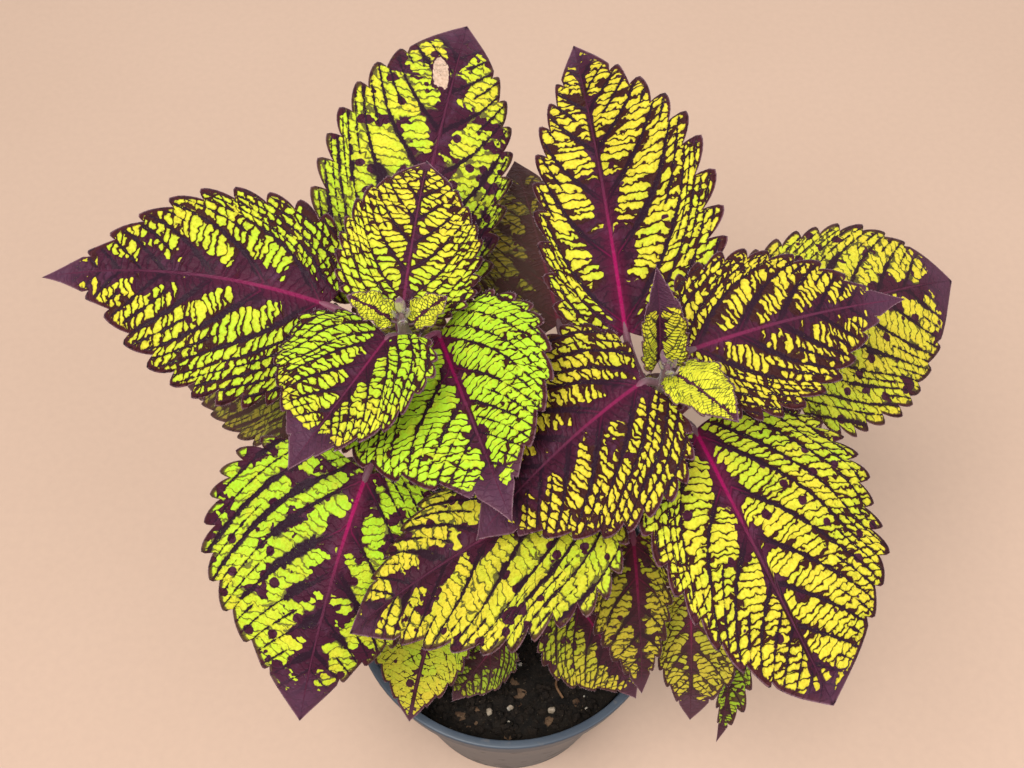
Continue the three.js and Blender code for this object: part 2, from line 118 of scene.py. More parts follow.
# Side veins leave the midrib at these parts of the blade's length and curve forward to the margin. From
# the first of them others fan out backwards to the base, these parts of the half width behind it.
SIDE_VEIN_FEET = (0.02, 0.21, 0.39, 0.56, 0.71, 0.85, 0.98, 1.1)
FAN_VEIN_FEET = (-0.7, -0.5, -0.32, -0.15)
FAN_SPREAD = 1.0
VEIN_LEAN = 0.9  # how far a side vein leans forward where it leaves the midrib
VEIN_CURVE = 1.1  # how much further forward its end at the margin is
VEIN_POWER = 3.5  # how late it curves
SOIL_EDGE_DIP = 2.0  # how much lower the soil lies along the pot's wall
PILLOW = 0.65  # how far the blade bulges up between side veins
RUNG = 0.16  # and between the net's threads
VEIN_RIDGE = 0.45  # how far side veins stand out underneath
MIDRIB_GROOVE = 0.5
MIDRIB_RIDGE = 0.35  # in that groove
MARGIN_BULGE = 0.1  # how far the margin stands out beyond the edges of the two faces
STALK_RINGS = 15
STALK_FLARE = 0.35  # how much thicker a stalk is at the stem, in parts of its radius
FULL_STALK_LENGTH = 45  # of the shortest blade whose stalk is as thick as a grown one's
# The stalk runs on under the blade as its midrib, as far as this part of the blade's length.
RIB_END = 0.94
RIB_RINGS = 20
RIB_END_RADIUS = 0.28

NODE_REACH = 1.6  # how far up and down the stem the swelling at a pair of leaves reaches

# Leaflets still folded round each shoot's tip: heading, rise, length and width.
BUD_LEAFLETS = ((100, 25, 5.5, 3), (-80, 25, 5, 2.8), (10, 45, 4, 2.2), (190, 45, 4, 2.2), (60, 70, 3, 1.4))
BUD_CURL = 50  # how much more steeply they rise at their ends
BUD_OFFSET = 0.9  # how far off the shoot's middle line they start
BUD_LIFT = 1.5  # and how far above its top
BUD_THICKNESS = 0.28  # in parts of their width


@dataclass
class Leaf:
    """One leaf: its place and form, and then its markings. Its name says which shoot and pair it is of."""
    stalk: tuple  # heading, rise and length
    blade: tuple  # heading, rise, length and width
    bend: float = 24  # how far the blade arches down
    sway: float = 0  # how far it turns sideways
    roll: float = 0  # how far it tips over
    fold: float = 4  # how far its halves stand up from the midrib
    teeth: int = 12  # on each side
    full: float = 0.3  # how blunt its tip is
    skew: float = 0  # how much wider its left half is than its right
    tint: str = "green"  # yellow, green or dark: the record's finish; not used here
    cell: float = 2.7  # size of the net's cells along a side vein
    net: float = 0.3  # half width of the net's threads
    rib: float = 0.8  # half width of the dark line along a side vein
    heart: float = 5  # half width of the dark zone along the midrib
    reach: float = 0.5  # how far along the blade that zone goes
    blotch: float = 0  # how much of the blade is in dark patches along its side veins
    spots: float = 0.2  # how many round dark spots there are
    tip: float = 0.88  # where the plain dark tip begins
    green: float = 0.3  # from yellow, 0, to green, 1
    shade: float = 0  # how much painted shade dulls a lower leaf towards brown
    glow: float = 1  # how bright the midrib's magenta is
    young: float = 0  # how pale and fine a young leaf still is
    scar: tuple = ()  # the middle, in mm along and across the blade, of a dry patch that an insect has left

    @property
    def length(self):
        return self.blade[2]

    @property
    def width(self):
        return self.blade[3]

    @property
    def small(self):
        """How small its relief and markings are, beside those of a grown leaf."""
        return min(self.length / GROWN_LENGTH, 1)


LEAVES = {
    "leaf_left_0_left": Leaf(
        (175, 30, 4), (159, 20, 14, 10), fold=17, teeth=6, full=0.7,
        cell=1.2, net=0.11, rib=0.18, heart=0.05, spots=0, tip=0.9, glow=0, young=1),
    "leaf_left_0_right": Leaf(
        (-10, 30, 4), (37, 12, 12, 10), fold=15, teeth=6, full=0.6,
        cell=1.2, net=0.11, rib=0.18, heart=0.05, spots=0, tip=0.92, glow=0, young=1),
    "leaf_left_1_back": Leaf(
        (94, 32, 9), (82, 16, 46, 40), roll=12, fold=2, teeth=10, full=0.82,
        cell=2.8, net=0.32, heart=0.4, reach=0.6, spots=0, tip=0.97, green=0.4, glow=0.2),
    "leaf_left_1_front": Leaf(
        (-152, 28, 6), (-126, -14, 47, 51), sway=-11, roll=14, fold=15, teeth=10, full=0.12, skew=-0.05,
        cell=2.8, net=0.27, rib=1, heart=2.2, spots=0, tip=0.74, green=0.6, glow=0.35),
    "leaf_left_2_left": Leaf(
        (152, 12, 28), (174, 1, 87, 62), bend=30, sway=13, roll=-20, full=0, skew=0.12,
        cell=3.3, net=0.42, rib=1.2, heart=4, reach=0.8, blotch=0.1, tip=0.87, green=0.52, glow=0.55),
    "leaf_left_2_right": Leaf(
        (35, -2, 11), (-70, -3, 64, 68), sway=4, roll=20, fold=13, teeth=10, full=0, skew=-0.12,
        cell=3, net=0.2, rib=0.7, heart=1.2, reach=0.55, spots=0.05, tip=0.8, green=0.95),
    "leaf_left_3_back": Leaf(
        (103, 18, 33), (78, 15, 102, 57), bend=28, sway=5, roll=15, fold=0, full=1, skew=0.14,
        cell=4, net=0.28, rib=1.1, heart=3, reach=0.9, blotch=0.5, spots=0.6, tip=0.93, green=0.6,
        scar=(78.5, 4.5)),
    "leaf_left_3_front": Leaf(
        (-123, -9, 29), (-109, -35, 80, 78), bend=21, sway=6, roll=-17, fold=-16, full=0.32, skew=-0.11,
        cell=4, net=0.18, heart=3.5, reach=0.9, blotch=0.65, spots=0.6, tip=0.86, green=0.7),
    "leaf_left_4_left": Leaf(
        (143, 16, 43), (179, -8, 56, 56), full=0.5, tint="dark",
        cell=3, rib=1.2, heart=6, blotch=0.8, green=0.5, shade=0.6),
    "leaf_left_4_right": Leaf(
        (-40, 5, 25), (-72, -22, 46, 34), teeth=9, tint="dark",
        heart=3, blotch=0.6, shade=0.35),
    "leaf_left_5_front": Leaf(
        (-111, -11, 31), (-109, -40, 46, 33), sway=5, roll=-4, teeth=9, full=0.36, skew=-0.13,
        cell=3.2, net=0.08, rib=0.15, heart=0.4, reach=0.9, spots=0.3, green=0.5, shade=0.2),
    "leaf_left_5_back": Leaf(
        (110, 20, 35), (112, 0, 60, 44), teeth=10, tint="dark",
        blotch=0.7, green=0.6, shade=0.6),
    "leaf_left_6_front": Leaf(
        (-84, -23, 31), (-132, -21, 28, 22), teeth=7,
        cell=2.4, net=0.25, heart=2, blotch=0.5, green=0.8, shade=0.35),
    "leaf_left_6_back": Leaf(
        (152, 12, 34), (160, -14, 52, 40), teeth=9, tint="dark",
        heart=4, blotch=0.6, green=0.6, shade=0.55),
    "leaf_right_0_back": Leaf(
        (120, 40, 5), (100, 60, 28, 18), fold=45, teeth=7, tint="yellow",
        cell=1.3, net=0.16, rib=0.35, heart=0.8, reach=0.9, spots=0, tip=0.6, green=0.2, glow=0, young=0.4),
    "leaf_right_0_front": Leaf(
        (-30, 35, 4), (-49, 8, 23, 17), fold=15, teeth=7, full=0.5, tint="yellow",
        cell=1.2, net=0.07, rib=0.18, heart=0.05, spots=0, tip=0.93, green=0.25, glow=0, young=0.9),
    "leaf_right_1_right": Leaf(
        (47, 26, 12), (18, -4, 70, 48), roll=14, fold=0, full=0, tint="yellow",
        cell=3, net=0.45, rib=1.3, heart=1.7, reach=0.85, blotch=0.1, spots=0.1, tip=0.8, green=0.08,
        glow=0.3),
    "leaf_right_1_left": Leaf(
        (-170, 20, 7), (-144, -29, 66, 64), sway=9, roll=6, fold=2, teeth=11, full=0.2, tint="yellow",
        cell=2.9, net=0.44, rib=1.22, heart=3.6, reach=0.9, blotch=0.15, spots=0.1, tip=0.84, green=0.1,
        glow=0.5),
    "leaf_right_2_back": Leaf(
        (108, 12, 26), (97, 7, 110, 54), roll=-15, fold=18, full=0.42, skew=-0.22, tint="yellow",
        cell=4, net=0.45, rib=1.25, reach=0.42, blotch=0.1, tip=0.93, green=0.24),
    "leaf_right_2_front": Leaf(
        (-32, 0, 13), (-64, -17, 86, 72), bend=28, sway=10, roll=-11, full=1, skew=0.22, tint="yellow",
        cell=3.4, net=0.32, rib=0.95, heart=2.2, blotch=0.05, spots=0.4, tip=0.95, green=0.35),
    "leaf_right_3_right": Leaf(
        (38, 8, 57), (25, -7, 75, 66), bend=26, sway=-10, roll=20, fold=-5, full=1, skew=-0.14,
        tint="yellow",
        cell=4, net=0.22, rib=1, heart=2.6, reach=0.9, blotch=0.4, spots=0.5, shade=0.1),
    "leaf_right_3_left": Leaf(
        (-129, 22, 25), (-155, -21, 86, 62), bend=16, sway=15, roll=11, fold=9, full=0.5, skew=0.22,
        tint="yellow",
        cell=4, net=0.2, rib=1, heart=3, reach=0.9, blotch=0.5, spots=0.55, tip=0.93, green=0.35,
        shade=0.04),
    "leaf_right_4_back": Leaf(
        (104, 20, 60), (103, 8, 68, 52), teeth=10, tint="dark",
        net=0.35, heart=6, blotch=0.8, shade=0.6),
    "leaf_right_4_front": Leaf(
        (-67, 22, 24), (-82, -53, 58, 25), teeth=10, skew=-0.2, tint="yellow",
        cell=3.2, rib=0.9, heart=1.5, blotch=0.35, spots=0.4, green=0.2, shade=0.25),
    "leaf_right_5_right": Leaf(
        (-27, 9, 50), (-88, -43, 47, 31), teeth=8, full=0.48, skew=0.22, tint="dark",
        net=0.24, rib=0.6, heart=1, reach=0.7, blotch=0.25, tip=0.8, shade=0.35),
    "leaf_right_5_left": Leaf(
        (125, 0, 42), (122, -12, 62, 46), teeth=10, tint="dark",
        blotch=0.7, green=0.4, shade=0.6),
    "leaf_right_6_front": Leaf(
        (-59, 36, 34), (-50, -39, 42, 40), roll=12, teeth=8, full=0.1, skew=-0.04, tint="yellow",
        cell=3.2, rib=0.9, heart=3, reach=0.7, blotch=0.4, spots=0.3, shade=0.2),
    "leaf_right_6_right": Leaf(
        (-16, 8, 68), (-90, -45, 56, 16), sway=-40, roll=-10, fold=34, teeth=8, full=0.2, skew=0.15,
        cell=2.2, net=0.25, rib=0.4, heart=1.2, blotch=0.3, green=0.85, shade=0.3, glow=0.3),
    "leaf_right_6_back": Leaf(
        (62, 20, 42), (50, -8, 58, 44), teeth=10, tint="dark",
        blotch=0.7, green=0.5, shade=0.6),
}

# ---- Shapes ----


def full_turn(steps):
    return np.linspace(0, 2 * np.pi, steps, endpoint=False)


def unit(vectors):
    return vectors / np.linalg.norm(vectors, axis=-1, keepdims=True)


def direction(heading, rise):
    """Unit vectors from compass headings, anticlockwise from +X, and rises above level."""
    heading, rise = np.broadcast_arrays(np.radians(heading), np.radians(rise))
    return np.stack([np.cos(rise) * np.cos(heading), np.cos(rise) * np.sin(heading), np.sin(rise)], -1)


def read_curve(values, fraction):
    """Smooth curve through evenly spaced values, read at fractions from 0 to 1."""
    values = np.asarray(values, float)
    place = np.clip(fraction, 0, 1) * (len(values) - 1)
    i = np.minimum(place.astype(int), len(values) - 2)
    t = place - i
    before, start = values[np.maximum(i - 1, 0)], values[i]
    end, after = values[i + 1], values[np.minimum(i + 2, len(values) - 1)]
    square = 2 * before - 5 * start + 4 * end - after
    cube = 3 * (start - end) + after - before
    return start + 0.5 * t * (end - before + t * (square + t * cube))


def smooth(value, low, high):
    part = np.clip((value - low) / (high - low), 0, 1)
    return part * part * (3 - 2 * part)


def put(name, data):
    """A new object in the scene."""
    thing = bpy.data.objects.new(name, data)
    bpy.context.scene.collection.objects.link(thing)
    return thing


class Form:
    """Vertices, faces and per-vertex values of one mesh, gathered piece by piece."""

    def __init__(self):
        self.points, self.faces, self.slots, self.values = [], [], [], {}
        self.count = 0

    def add(self, points, faces, slot=0, **values):
        """Adds points with their faces, which count from 0 here, and returns the first point's index."""
        points = np.asarray(points, float).reshape(-1, 3)
        first = self.count
        self.points.append(points)
        self.add_faces(faces, first, slot)
        for name, value in values.items():
            self.values.setdefault(name, []).append((first, np.asarray(value, float)))
        self.count += len(points)
        return first

    def add_faces(self, faces, first=0, slot=0):
        self.faces.extend(tuple(int(i) + first for i in face) for face in faces)
        self.slots.extend([slot] * len(faces))

    def add_tube(self, centres, radii, section, across=RIGHT, slot=0):
        self.add(tube(centres, radii, section, across), tube_faces(len(centres), len(section)), slot)

    def build(self, name, materials, replaces=None):
        """The Blender object, riding on the one body, with the materials it is given. It may stand for a
        node."""
        mesh = bpy.data.meshes.new(name)
        mesh.from_pydata((np.concatenate(self.points) * MM).tolist(), [], self.faces)
        for material in materials:
            mesh.materials.append(material)
        mesh.polygons.foreach_set("material_index", self.slots)
        mesh.polygons.foreach_set("use_smooth", [True] * len(self.faces))
        for key, parts in self.values.items():
            whole = np.zeros((self.count, 3))
            for first, value in parts:
                whole[first:first + len(value)] = value
            mesh.attributes.new(key, "FLOAT_VECTOR", "POINT").data.foreach_set("vector", whole.ravel())
        mesh.validate()
        mesh.update()
        piece = put(name, mesh)
        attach(piece, "root")
        if replaces:
            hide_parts(replaces)
        return piece


def strip(first_line, second_line):
    """Quads between two lines of point indices."""
    return [(a, b, d, c) for a, b, c, d in zip(first_line, first_line[1:], second_line, second_line[1:])]


def turned_over(faces):
    return [face[::-1] for face in faces]


def wall_faces(rings, sides):
    """Faces over rings of points that run anticlockwise about the way they follow."""
    faces = []
    for start in range(0, (rings - 1) * sides, sides):
        line = [start + i % sides for i in range(sides + 1)]
        faces += strip(line, [i + sides for i in line])
    return faces


def tube_faces(rings, sides):
    """The same, closed at both ends."""
    last = (rings - 1) * sides
    return wall_faces(rings, sides) + [tuple(range(sides))[::-1], tuple(range(last, last + sides))]


def tube(centres, radii, section, across):
    """Points of rings about a path. section gives each side's two coordinates."""
    along = unit(np.gradient(centres, axis=0))
    side = unit(across - along * (along * across).sum(-1, keepdims=True))
    other = np.cross(along, side)
    section = np.asarray(section)
    radii = np.broadcast_to(radii, len(centres))[:, None, None]
    ring = section[None, :, :1] * side[:, None] + section[None, :, 1:] * other[:, None]
    return (centres[:, None] + ring * radii).reshape(-1, 3)


def circle(sides, groove=0.0):
    """A round section. groove presses its top in."""
    angle = full_turn(sides)
    radius = 1 - groove * np.exp(-((angle - np.pi / 2) / 0.5) ** 2)
    return np.stack([radius * np.cos(angle), radius * np.sin(angle)], -1)


def square_section():
    """A square stem's section: rounded corners, and a shallow groove down each side."""
    angle = full_turn(24)
    radius = 1.08 - 0.16 * np.cos(4 * angle) - 0.05 * np.cos(8 * angle)
    return np.stack([radius * np.cos(angle), radius * np.sin(angle)], -1)


# ---- Stem ----


def shoot_points(shoot, heights):
    """Points on the middle line of a shoot: it bows outwards and then grows upright."""
    x, y, top = SHOOT_TIPS[shoot]
    heights = np.asarray(heights, float)
    spread = np.sin(np.minimum((heights - STEM_FORK) / (top - STEM_FORK), 1) * np.pi / 2)
    return np.stack([x * spread, y * spread, heights], -1)


def make_stem():
    form = Form()
    section = square_section()
    heights = np.linspace(STEM_FOOT, STEM_FORK + FORK_OVERLAP, 24)
    centres = np.stack([0 * heights, 0 * heights, heights], -1)
    form.add_tube(centres, MAIN_HALF_WIDTH, section)
    for shoot, (_, _, top) in SHOOT_TIPS.items():
        heights = np.linspace(STEM_FORK, top + BUD_HEIGHT, 120)
        climb = (heights - STEM_FORK) / (top - STEM_FORK)
        half_width = SHOOT_HALF_WIDTH + (TIP_HALF_WIDTH - SHOOT_HALF_WIDTH) * climb
        for joint in PAIR_HEIGHTS[shoot][1:]:
            half_width = half_width + NODE_SWELLING * np.exp(-((heights - joint) / NODE_REACH) ** 2)
        half_width *= 1 - 0.6 * smooth(heights, top, top + BUD_HEIGHT)
        form.add_tube(shoot_points(shoot, heights), half_width, section)
    form.build("stem_downy", [stem_material()], replaces="stem")


# ---- Leaves ----


def leaf_base(name, leaf):
    """Where the stalk leaves the shoot's middle line, and where it reaches the blade."""
    _, shoot, pair, _ = name.split("_")
    root = shoot_points(shoot, [PAIR_HEIGHTS[shoot][int(pair)]])[0]
    heading, rise, length = leaf.stalk
    return root, root + direction(heading, rise) * length


def midrib_frames(leaf, base):
    """Points along the midrib, with the ways along it, across it and up."""
    heading, rise, length, _ = leaf.blade
    part = np.arange(MIDRIB_STEPS + 1) / MIDRIB_STEPS - 0.5

    def along_at(places):
        return direction(heading + leaf.sway * places, rise - leaf.bend * places)

    along = along_at(part)
    strides = along_at(part[:-1] + 0.5 / MIDRIB_STEPS) * length / MIDRIB_STEPS
    points = base + np.concatenate([np.zeros((1, 3)), np.cumsum(strides, axis=0)])
    level = unit(np.cross(UP, along))
    roll = math.radians(leaf.roll)
    across = level * math.cos(roll) + np.cross(along, level) * math.sin(roll)
    return points, along, across, np.cross(along, across)


def blade_points(leaf, frames, x, y):
    """Points of the blade's middle layer. x is in parts of its length and y, across, in mm."""
    place = np.clip(x, 0, 1) * MIDRIB_STEPS
    i = np.minimum(place.astype(int), MIDRIB_STEPS - 1)
    t = (place - i)[..., None]
    point, along, across, up = (each[i] * (1 - t) + each[i + 1] * t for each in frames)
    side = np.abs(y)
    reach = side / (leaf.width / 2)
    turn = 2 * np.pi * (WAVES * x + np.where(y > 0, 0.5, 0))
    fold = math.radians(leaf.fold)
    lift = side * math.sin(fold) - MARGIN_CURL * side * reach + WAVE_HEIGHT * reach ** 2 * np.sin(turn)
    point = point + along * (np.minimum(x, 0) * leaf.length)[..., None]
    return point + across * (y * math.cos(fold))[..., None] + up * lift[..., None], up


def outline_points(leaf, fraction, outwards):
    """Outline at fractions of the way from base to tip, moved outwards: x in parts of the length, y in mm."""
    def place(at):
        y = read_curve(SLENDER_Y, at) * (1 - leaf.full) + read_curve(FULL_Y, at) * leaf.full
        return read_curve(OUTLINE_X, at) * leaf.length, y * leaf.width / 2

    x, y = place(fraction)
    ahead_x, ahead_y = place(np.minimum(fraction + 0.01, 1))
    step = np.maximum(np.hypot(ahead_x - x, ahead_y - y), 1e-9)
    return (x - outwards * (ahead_y - y) / step) / leaf.length, y + outwards * (ahead_x - x) / step


def tooth_profile(part):
    rise = np.sin(np.pi / 2 * part / TOOTH_CREST)
    fall = np.cos(np.pi / 2 * (part - TOOTH_CREST) / (1 - TOOTH_CREST))
    return np.maximum(np.where(part < TOOTH_CREST, rise, fall), 0) ** TOOTH_ROUNDNESS - NOTCH_DEPTH


def margin_rows(leaf, rng):
    """Fractions along the outline of the blade's rows and of their margin points, and on each side the
    outward offsets of those."""
    tooth = np.arange(leaf.teeth)
    size = leaf.length * TOOTH_HEIGHT * (0.6 + 0.4 * np.sin(np.pi * (tooth + 0.5) / leaf.teeth))
    size = size * rng.uniform(0.85, 1.15, (2, leaf.teeth))
    pitch = (TEETH_LAST - TEETH_FIRST) / leaf.teeth
    parts = np.array(TOOTH_PARTS)
    toothed = (TEETH_FIRST + pitch * (tooth[:, None] + parts)).ravel()
    leaning = toothed + np.tile(pitch * TOOTH_LEAN * (tooth_profile(parts) + NOTCH_DEPTH), leaf.teeth)
    offsets = (size[:, :, None] * tooth_profile(parts)).reshape(2, -1)
    before = np.linspace(0, TEETH_FIRST, 7)[1:-1]
    after = TEETH_LAST + (1 - TEETH_LAST) * np.array(END_PARTS)
    ramp = -NOTCH_DEPTH * size[:, :1] * (before / TEETH_FIRST) ** 2
    ending = size[:, -1:] * np.interp(after, [TEETH_LAST, TEETH_LAST + 0.02, 0.95], [-0.35, 0.15, 0])
    rows, edges = (np.concatenate([before, middle, after]) for middle in (toothed, leaning))
    return rows, edges, np.concatenate([ramp, offsets, ending], axis=1)


def blade_grid(leaf, rows, columns):
    """x, y and distance from the margin of a grid of points: a line from margin to margin for each row."""
    fraction, edge_fraction, offsets = rows
    foot = read_curve(VEIN_FOOT, fraction)[:, None]
    v = np.arange(columns + 1) / columns
    plain_x, plain_y = (each[:, None] for each in outline_points(leaf, fraction, 0))
    xs, ys, rims = [], [], []
    for side in (0, 1):
        edge_x, edge_y = (each[:, None] for each in outline_points(leaf, edge_fraction, offsets[side]))
        x = foot + (plain_x - foot) * v ** ROW_LEAN + (edge_x - plain_x) * v ** TOOTH_PULL
        y = plain_y * v + (edge_y - plain_y) * v ** TOOTH_PULL
        sign = (1, -1)[side]
        spread = 1 + sign * leaf.skew
        gap = np.hypot((edge_x - foot) * leaf.length, edge_y * spread) * (1 - v)
        xs.append(x)
        ys.append(y * sign * spread)
        rims.append(gap * RIM_SLANT)
    return [np.concatenate([right[:, :0:-1], left], axis=1) for left, right in (xs, ys, rims)]


def vein_values(leaf, x, y, rim, under):
    """What the markings are drawn from, for each point.

    veins: which side vein it is at, counted from the base, how far out along it and whether it is underneath.
    near: how far apart side veins are there, and how far it is from the midrib and from the margin.
    flat: its place on the blade laid flat, and the part of the way to the tip."""
    length = leaf.length
    half = leaf.width / 2 * (1 + np.sign(y) * leaf.skew)
    u = np.clip(np.abs(y) / half, 0, 1.1)
    ahead = VEIN_LEAN * u + VEIN_CURVE * u ** VEIN_POWER
    lean = VEIN_LEAN + VEIN_CURVE * VEIN_POWER * u ** (VEIN_POWER - 1)
    first_foot = SIDE_VEIN_FEET[0] * length / half
    beyond = x * length / half - ahead - first_foot
    behind = beyond < 0
    fanned = beyond / (1 + FAN_SPREAD * ahead)
    slant = np.where(behind, lean * (1 + FAN_SPREAD * fanned), lean)
    foot = first_foot + np.where(behind, fanned, beyond)
    t, gap = np.zeros_like(x), np.zeros_like(x)
    for sign in (1, -1):
        on_side = sign * y >= 0
        scale = length / (leaf.width / 2 * (1 + sign * leaf.skew))
        forward = scale * np.array(SIDE_VEIN_FEET)
        feet = np.concatenate([forward[0] + np.array(FAN_VEIN_FEET), forward])
        number = np.arange(len(feet)) - len(FAN_VEIN_FEET)
        t[on_side] = np.interp(foot, feet, number)[on_side]
        gap[on_side] = np.interp(t, number[:-1] + 0.5, np.diff(feet))[on_side]
    spread = np.where(behind, 1 + FAN_SPREAD * ahead, 1)
    apart = gap * half * spread / np.hypot(1, slant)
    steps = np.linspace(0, 1.1, 111)
    run = np.cumsum(0.01 / (VEIN_LEAN + VEIN_CURVE * VEIN_POWER * steps ** (VEIN_POWER - 1)))
    out = x * length + half * np.interp(u, steps, run)
    veins = np.stack([t, out, np.full_like(x, under)], -1)
    near = np.stack([apart, np.abs(y), rim], -1)
    flat = np.stack([x * length, y, x], -1)
    return veins, near, flat


def relief(veins, near, flat, leaf, under):
    """How far the blade's face stands off its middle layer, in mm."""
    t, apart, side, rim = veins[..., 0], near[..., 0], near[..., 1], near[..., 2]
    part = t - np.floor(t)
    from_vein = np.minimum(part, 1 - part) * apart
    inner = smooth(rim, 0, 3)
    pillow = PILLOW * leaf.small * np.sin(np.pi * part) ** 0.8 * np.clip(apart / 9, 0, 1) * inner
    pillow = pillow * smooth(side, 0.3, 3)
    rung = RUNG * leaf.small * np.abs(np.sin(veins[..., 1] * np.pi / (2 * leaf.cell)))
    rung = rung * inner * smooth(side, 1, 4)
    thickness = MARGIN_THICKNESS + (BLADE_THICKNESS - MARGIN_THICKNESS) * smooth(rim, 0, 1.5)
    if under:
        ridge = VEIN_RIDGE * leaf.small * np.exp(-(from_vein / 0.45) ** 2) * smooth(rim, 0.5, 4)
        return pillow + rung - thickness / 2 - ridge
    groove = MIDRIB_GROOVE * leaf.small * np.exp(-(side / 1.1) ** 2)
    ridge = MIDRIB_RIDGE * leaf.small * np.exp(-(side / 0.45) ** 2)
    return pillow + rung + thickness / 2 - (groove - ridge) * (1 - flat[..., 2])


def add_face(form, leaf, frames, rows, under):
    """The blade's upper or under face. Returns the lines of point indices along its two margins."""
    x, y, rim = blade_grid(leaf, rows, LOWER_COLUMNS if under else UPPER_COLUMNS)
    index = np.arange(x.size).reshape(x.shape)
    base, tip = x.size, x.size + 1
    x, y, rim = np.append(x, [0, 1]), np.append(y, [0, 0]), np.append(rim, [0, 0])
    values = vein_values(leaf, x, y, rim, under)
    points, up = blade_points(leaf, frames, x, y)
    points = points + up * relief(*values, leaf, under)[:, None]
    faces = []
    for line, next_line in zip(index, index[1:]):
        faces += strip(next_line, line)
    faces += [(base, b, a) for a, b in zip(index[0], index[0][1:])]
    faces += [(tip, a, b) for a, b in zip(index[-1], index[-1][1:])]
    faces = faces if under else turned_over(faces)
    first = form.add(points, faces, veins=values[0], near=values[1], flat=values[2])
    return [first + np.array([base, *index[:, column], tip]) for column in (-1, 0)]


def add_margin(form, leaf, frames, rows, side, upper, lower):
    """The rounded margin on one side, between the edges of the two faces."""
    points = np.concatenate(form.points)
    middle = (points[upper] + points[lower]) / 2
    outwards = np.cross(np.gradient(middle, axis=0), frames[3][-1]) * (1, -1)[side]
    bulge = MARGIN_BULGE * outwards / np.maximum(np.linalg.norm(outwards, axis=1, keepdims=True), 1e-6)
    bulge[[0, -1]] = 0
    x, y, _ = (each[:, (-1, 0)[side]] for each in blade_grid(leaf, rows, 1))
    values = vein_values(leaf, np.array([0, *x, 1]), np.array([0, *y, 0]), np.zeros(len(x) + 2), 0)
    line = form.add(middle + bulge, [], veins=values[0], near=values[1], flat=values[2])
    line = line + np.arange(len(middle))
    faces = strip(upper, line) + strip(line, lower)
    form.add_faces(faces if side else turned_over(faces))
    return points[upper]


def add_blade(form, leaf, frames, rng):
    """The whole blade. Returns the lines of points along its two margins."""
    rows = margin_rows(leaf, rng)
    upper = add_face(form, leaf, frames, rows, 0)
    lower = add_face(form, leaf, frames, rows, 1)
    return [add_margin(form, leaf, frames, rows, side, upper[side], lower[side]) for side in (0, 1)]


def stalk_path(leaf, root, frames):
    """The stalk's middle line and radii: out of the stem, and on under the blade as its midrib."""
    points, along, _, up = frames
    heading, rise, length = leaf.stalk
    base = points[0] - up[0] * STALK_SINK
    leave, arrive = root + direction(heading, rise) * length / 3, base - along[0] * length / 3
    t = np.linspace(0, 1, STALK_RINGS + 1)[:-1, None]
    curve = (1 - t) ** 3 * root + 3 * t * (1 - t) ** 2 * leave + 3 * t * t * (1 - t) * arrive + t ** 3 * base
    place = np.linspace(0, RIB_END, RIB_RINGS)
    at = np.rint(place * MIDRIB_STEPS).astype(int)
    slim = min(leaf.length / FULL_STALK_LENGTH, 1)
    radius = slim * np.interp(place, [0, 0.3, RIB_END], [STALK_RADIUS, STALK_BLADE_RADIUS, RIB_END_RADIUS])
    sink = np.maximum(radius * 0.95, 0.3) - (radius * 0.95 - STALK_SINK) * np.exp(-place * 40)
    under = points[at] - up[at] * sink[:, None]
    stalk_radius = STALK_RADIUS * slim * (1 + STALK_FLARE * np.exp(-np.arange(STALK_RINGS) / 2))
    return np.concatenate([curve, under]), np.concatenate([stalk_radius, radius])


def bud_leaflets(shoot):
    """Middle lines and radii of the folded leaflets round a shoot's tip: an outer pair and an inner one."""
    x, y, top = SHOOT_TIPS[shoot]
    part = np.linspace(0, 1, 12)
    leaflets = []
    for heading, rise, length, width in BUD_LEAFLETS:
        ways = direction(heading, rise + BUD_CURL * part)
        start = np.array([x, y, top + BUD_LIFT]) + direction(heading, 0) * BUD_OFFSET
        centres = start + np.cumsum(ways, axis=0) * length / len(part)
        radii = width / 2 * (np.sin(np.pi * (0.12 + 0.86 * part)) ** 0.8)
        leaflets.append((centres, radii, np.cross(UP, direction(heading, 0))))
    return leaflets


def make_buds():
    form = Form()
    section = circle(12) * (1, BUD_THICKNESS)
    for shoot in SHOOT_TIPS:
        for centres, radii, across in bud_leaflets(shoot):
            form.add_tube(centres, radii, section, across)
    form.build("bud_leaflets", [bud_material()])


def make_leaf(name, leaf, number, stalk_skin):
    """The leaf piece, with the places where its down grows."""
    rng = np.random.default_rng(100 + number)
    root, base = leaf_base(name, leaf)
    frames = midrib_frames(leaf, base)
    form = Form()
    margins = add_blade(form, leaf, frames, rng)
    centres, radii = stalk_path(leaf, root, frames)
    form.add_tube(centres, radii, circle(10, groove=0.25), across=frames[2][0], slot=1)
    skins = [leaf_material(name, leaf, number), stalk_skin]
    form.build(name + "_veined", skins, replaces=name)
    return margins, centres[:STALK_RINGS + 1], radii[:STALK_RINGS + 1]


# ---- Materials ----


def arithmetic(operation, swapped=False):
    def work_out(field, other):
        values = (other, field) if swapped else (field, other)
        return field.shading.math(operation, *values)

    return work_out


class Field:
    """A number or colour that varies over a surface: the output of a shader node."""

    def __init__(self, shading, socket):
        self.shading, self.socket = shading, socket

    __add__ = __radd__ = arithmetic("ADD")
    __mul__ = __rmul__ = arithmetic("MULTIPLY")
    __sub__ = arithmetic("SUBTRACT")
    __rsub__ = arithmetic("SUBTRACT", swapped=True)
    __truediv__ = arithmetic("DIVIDE")


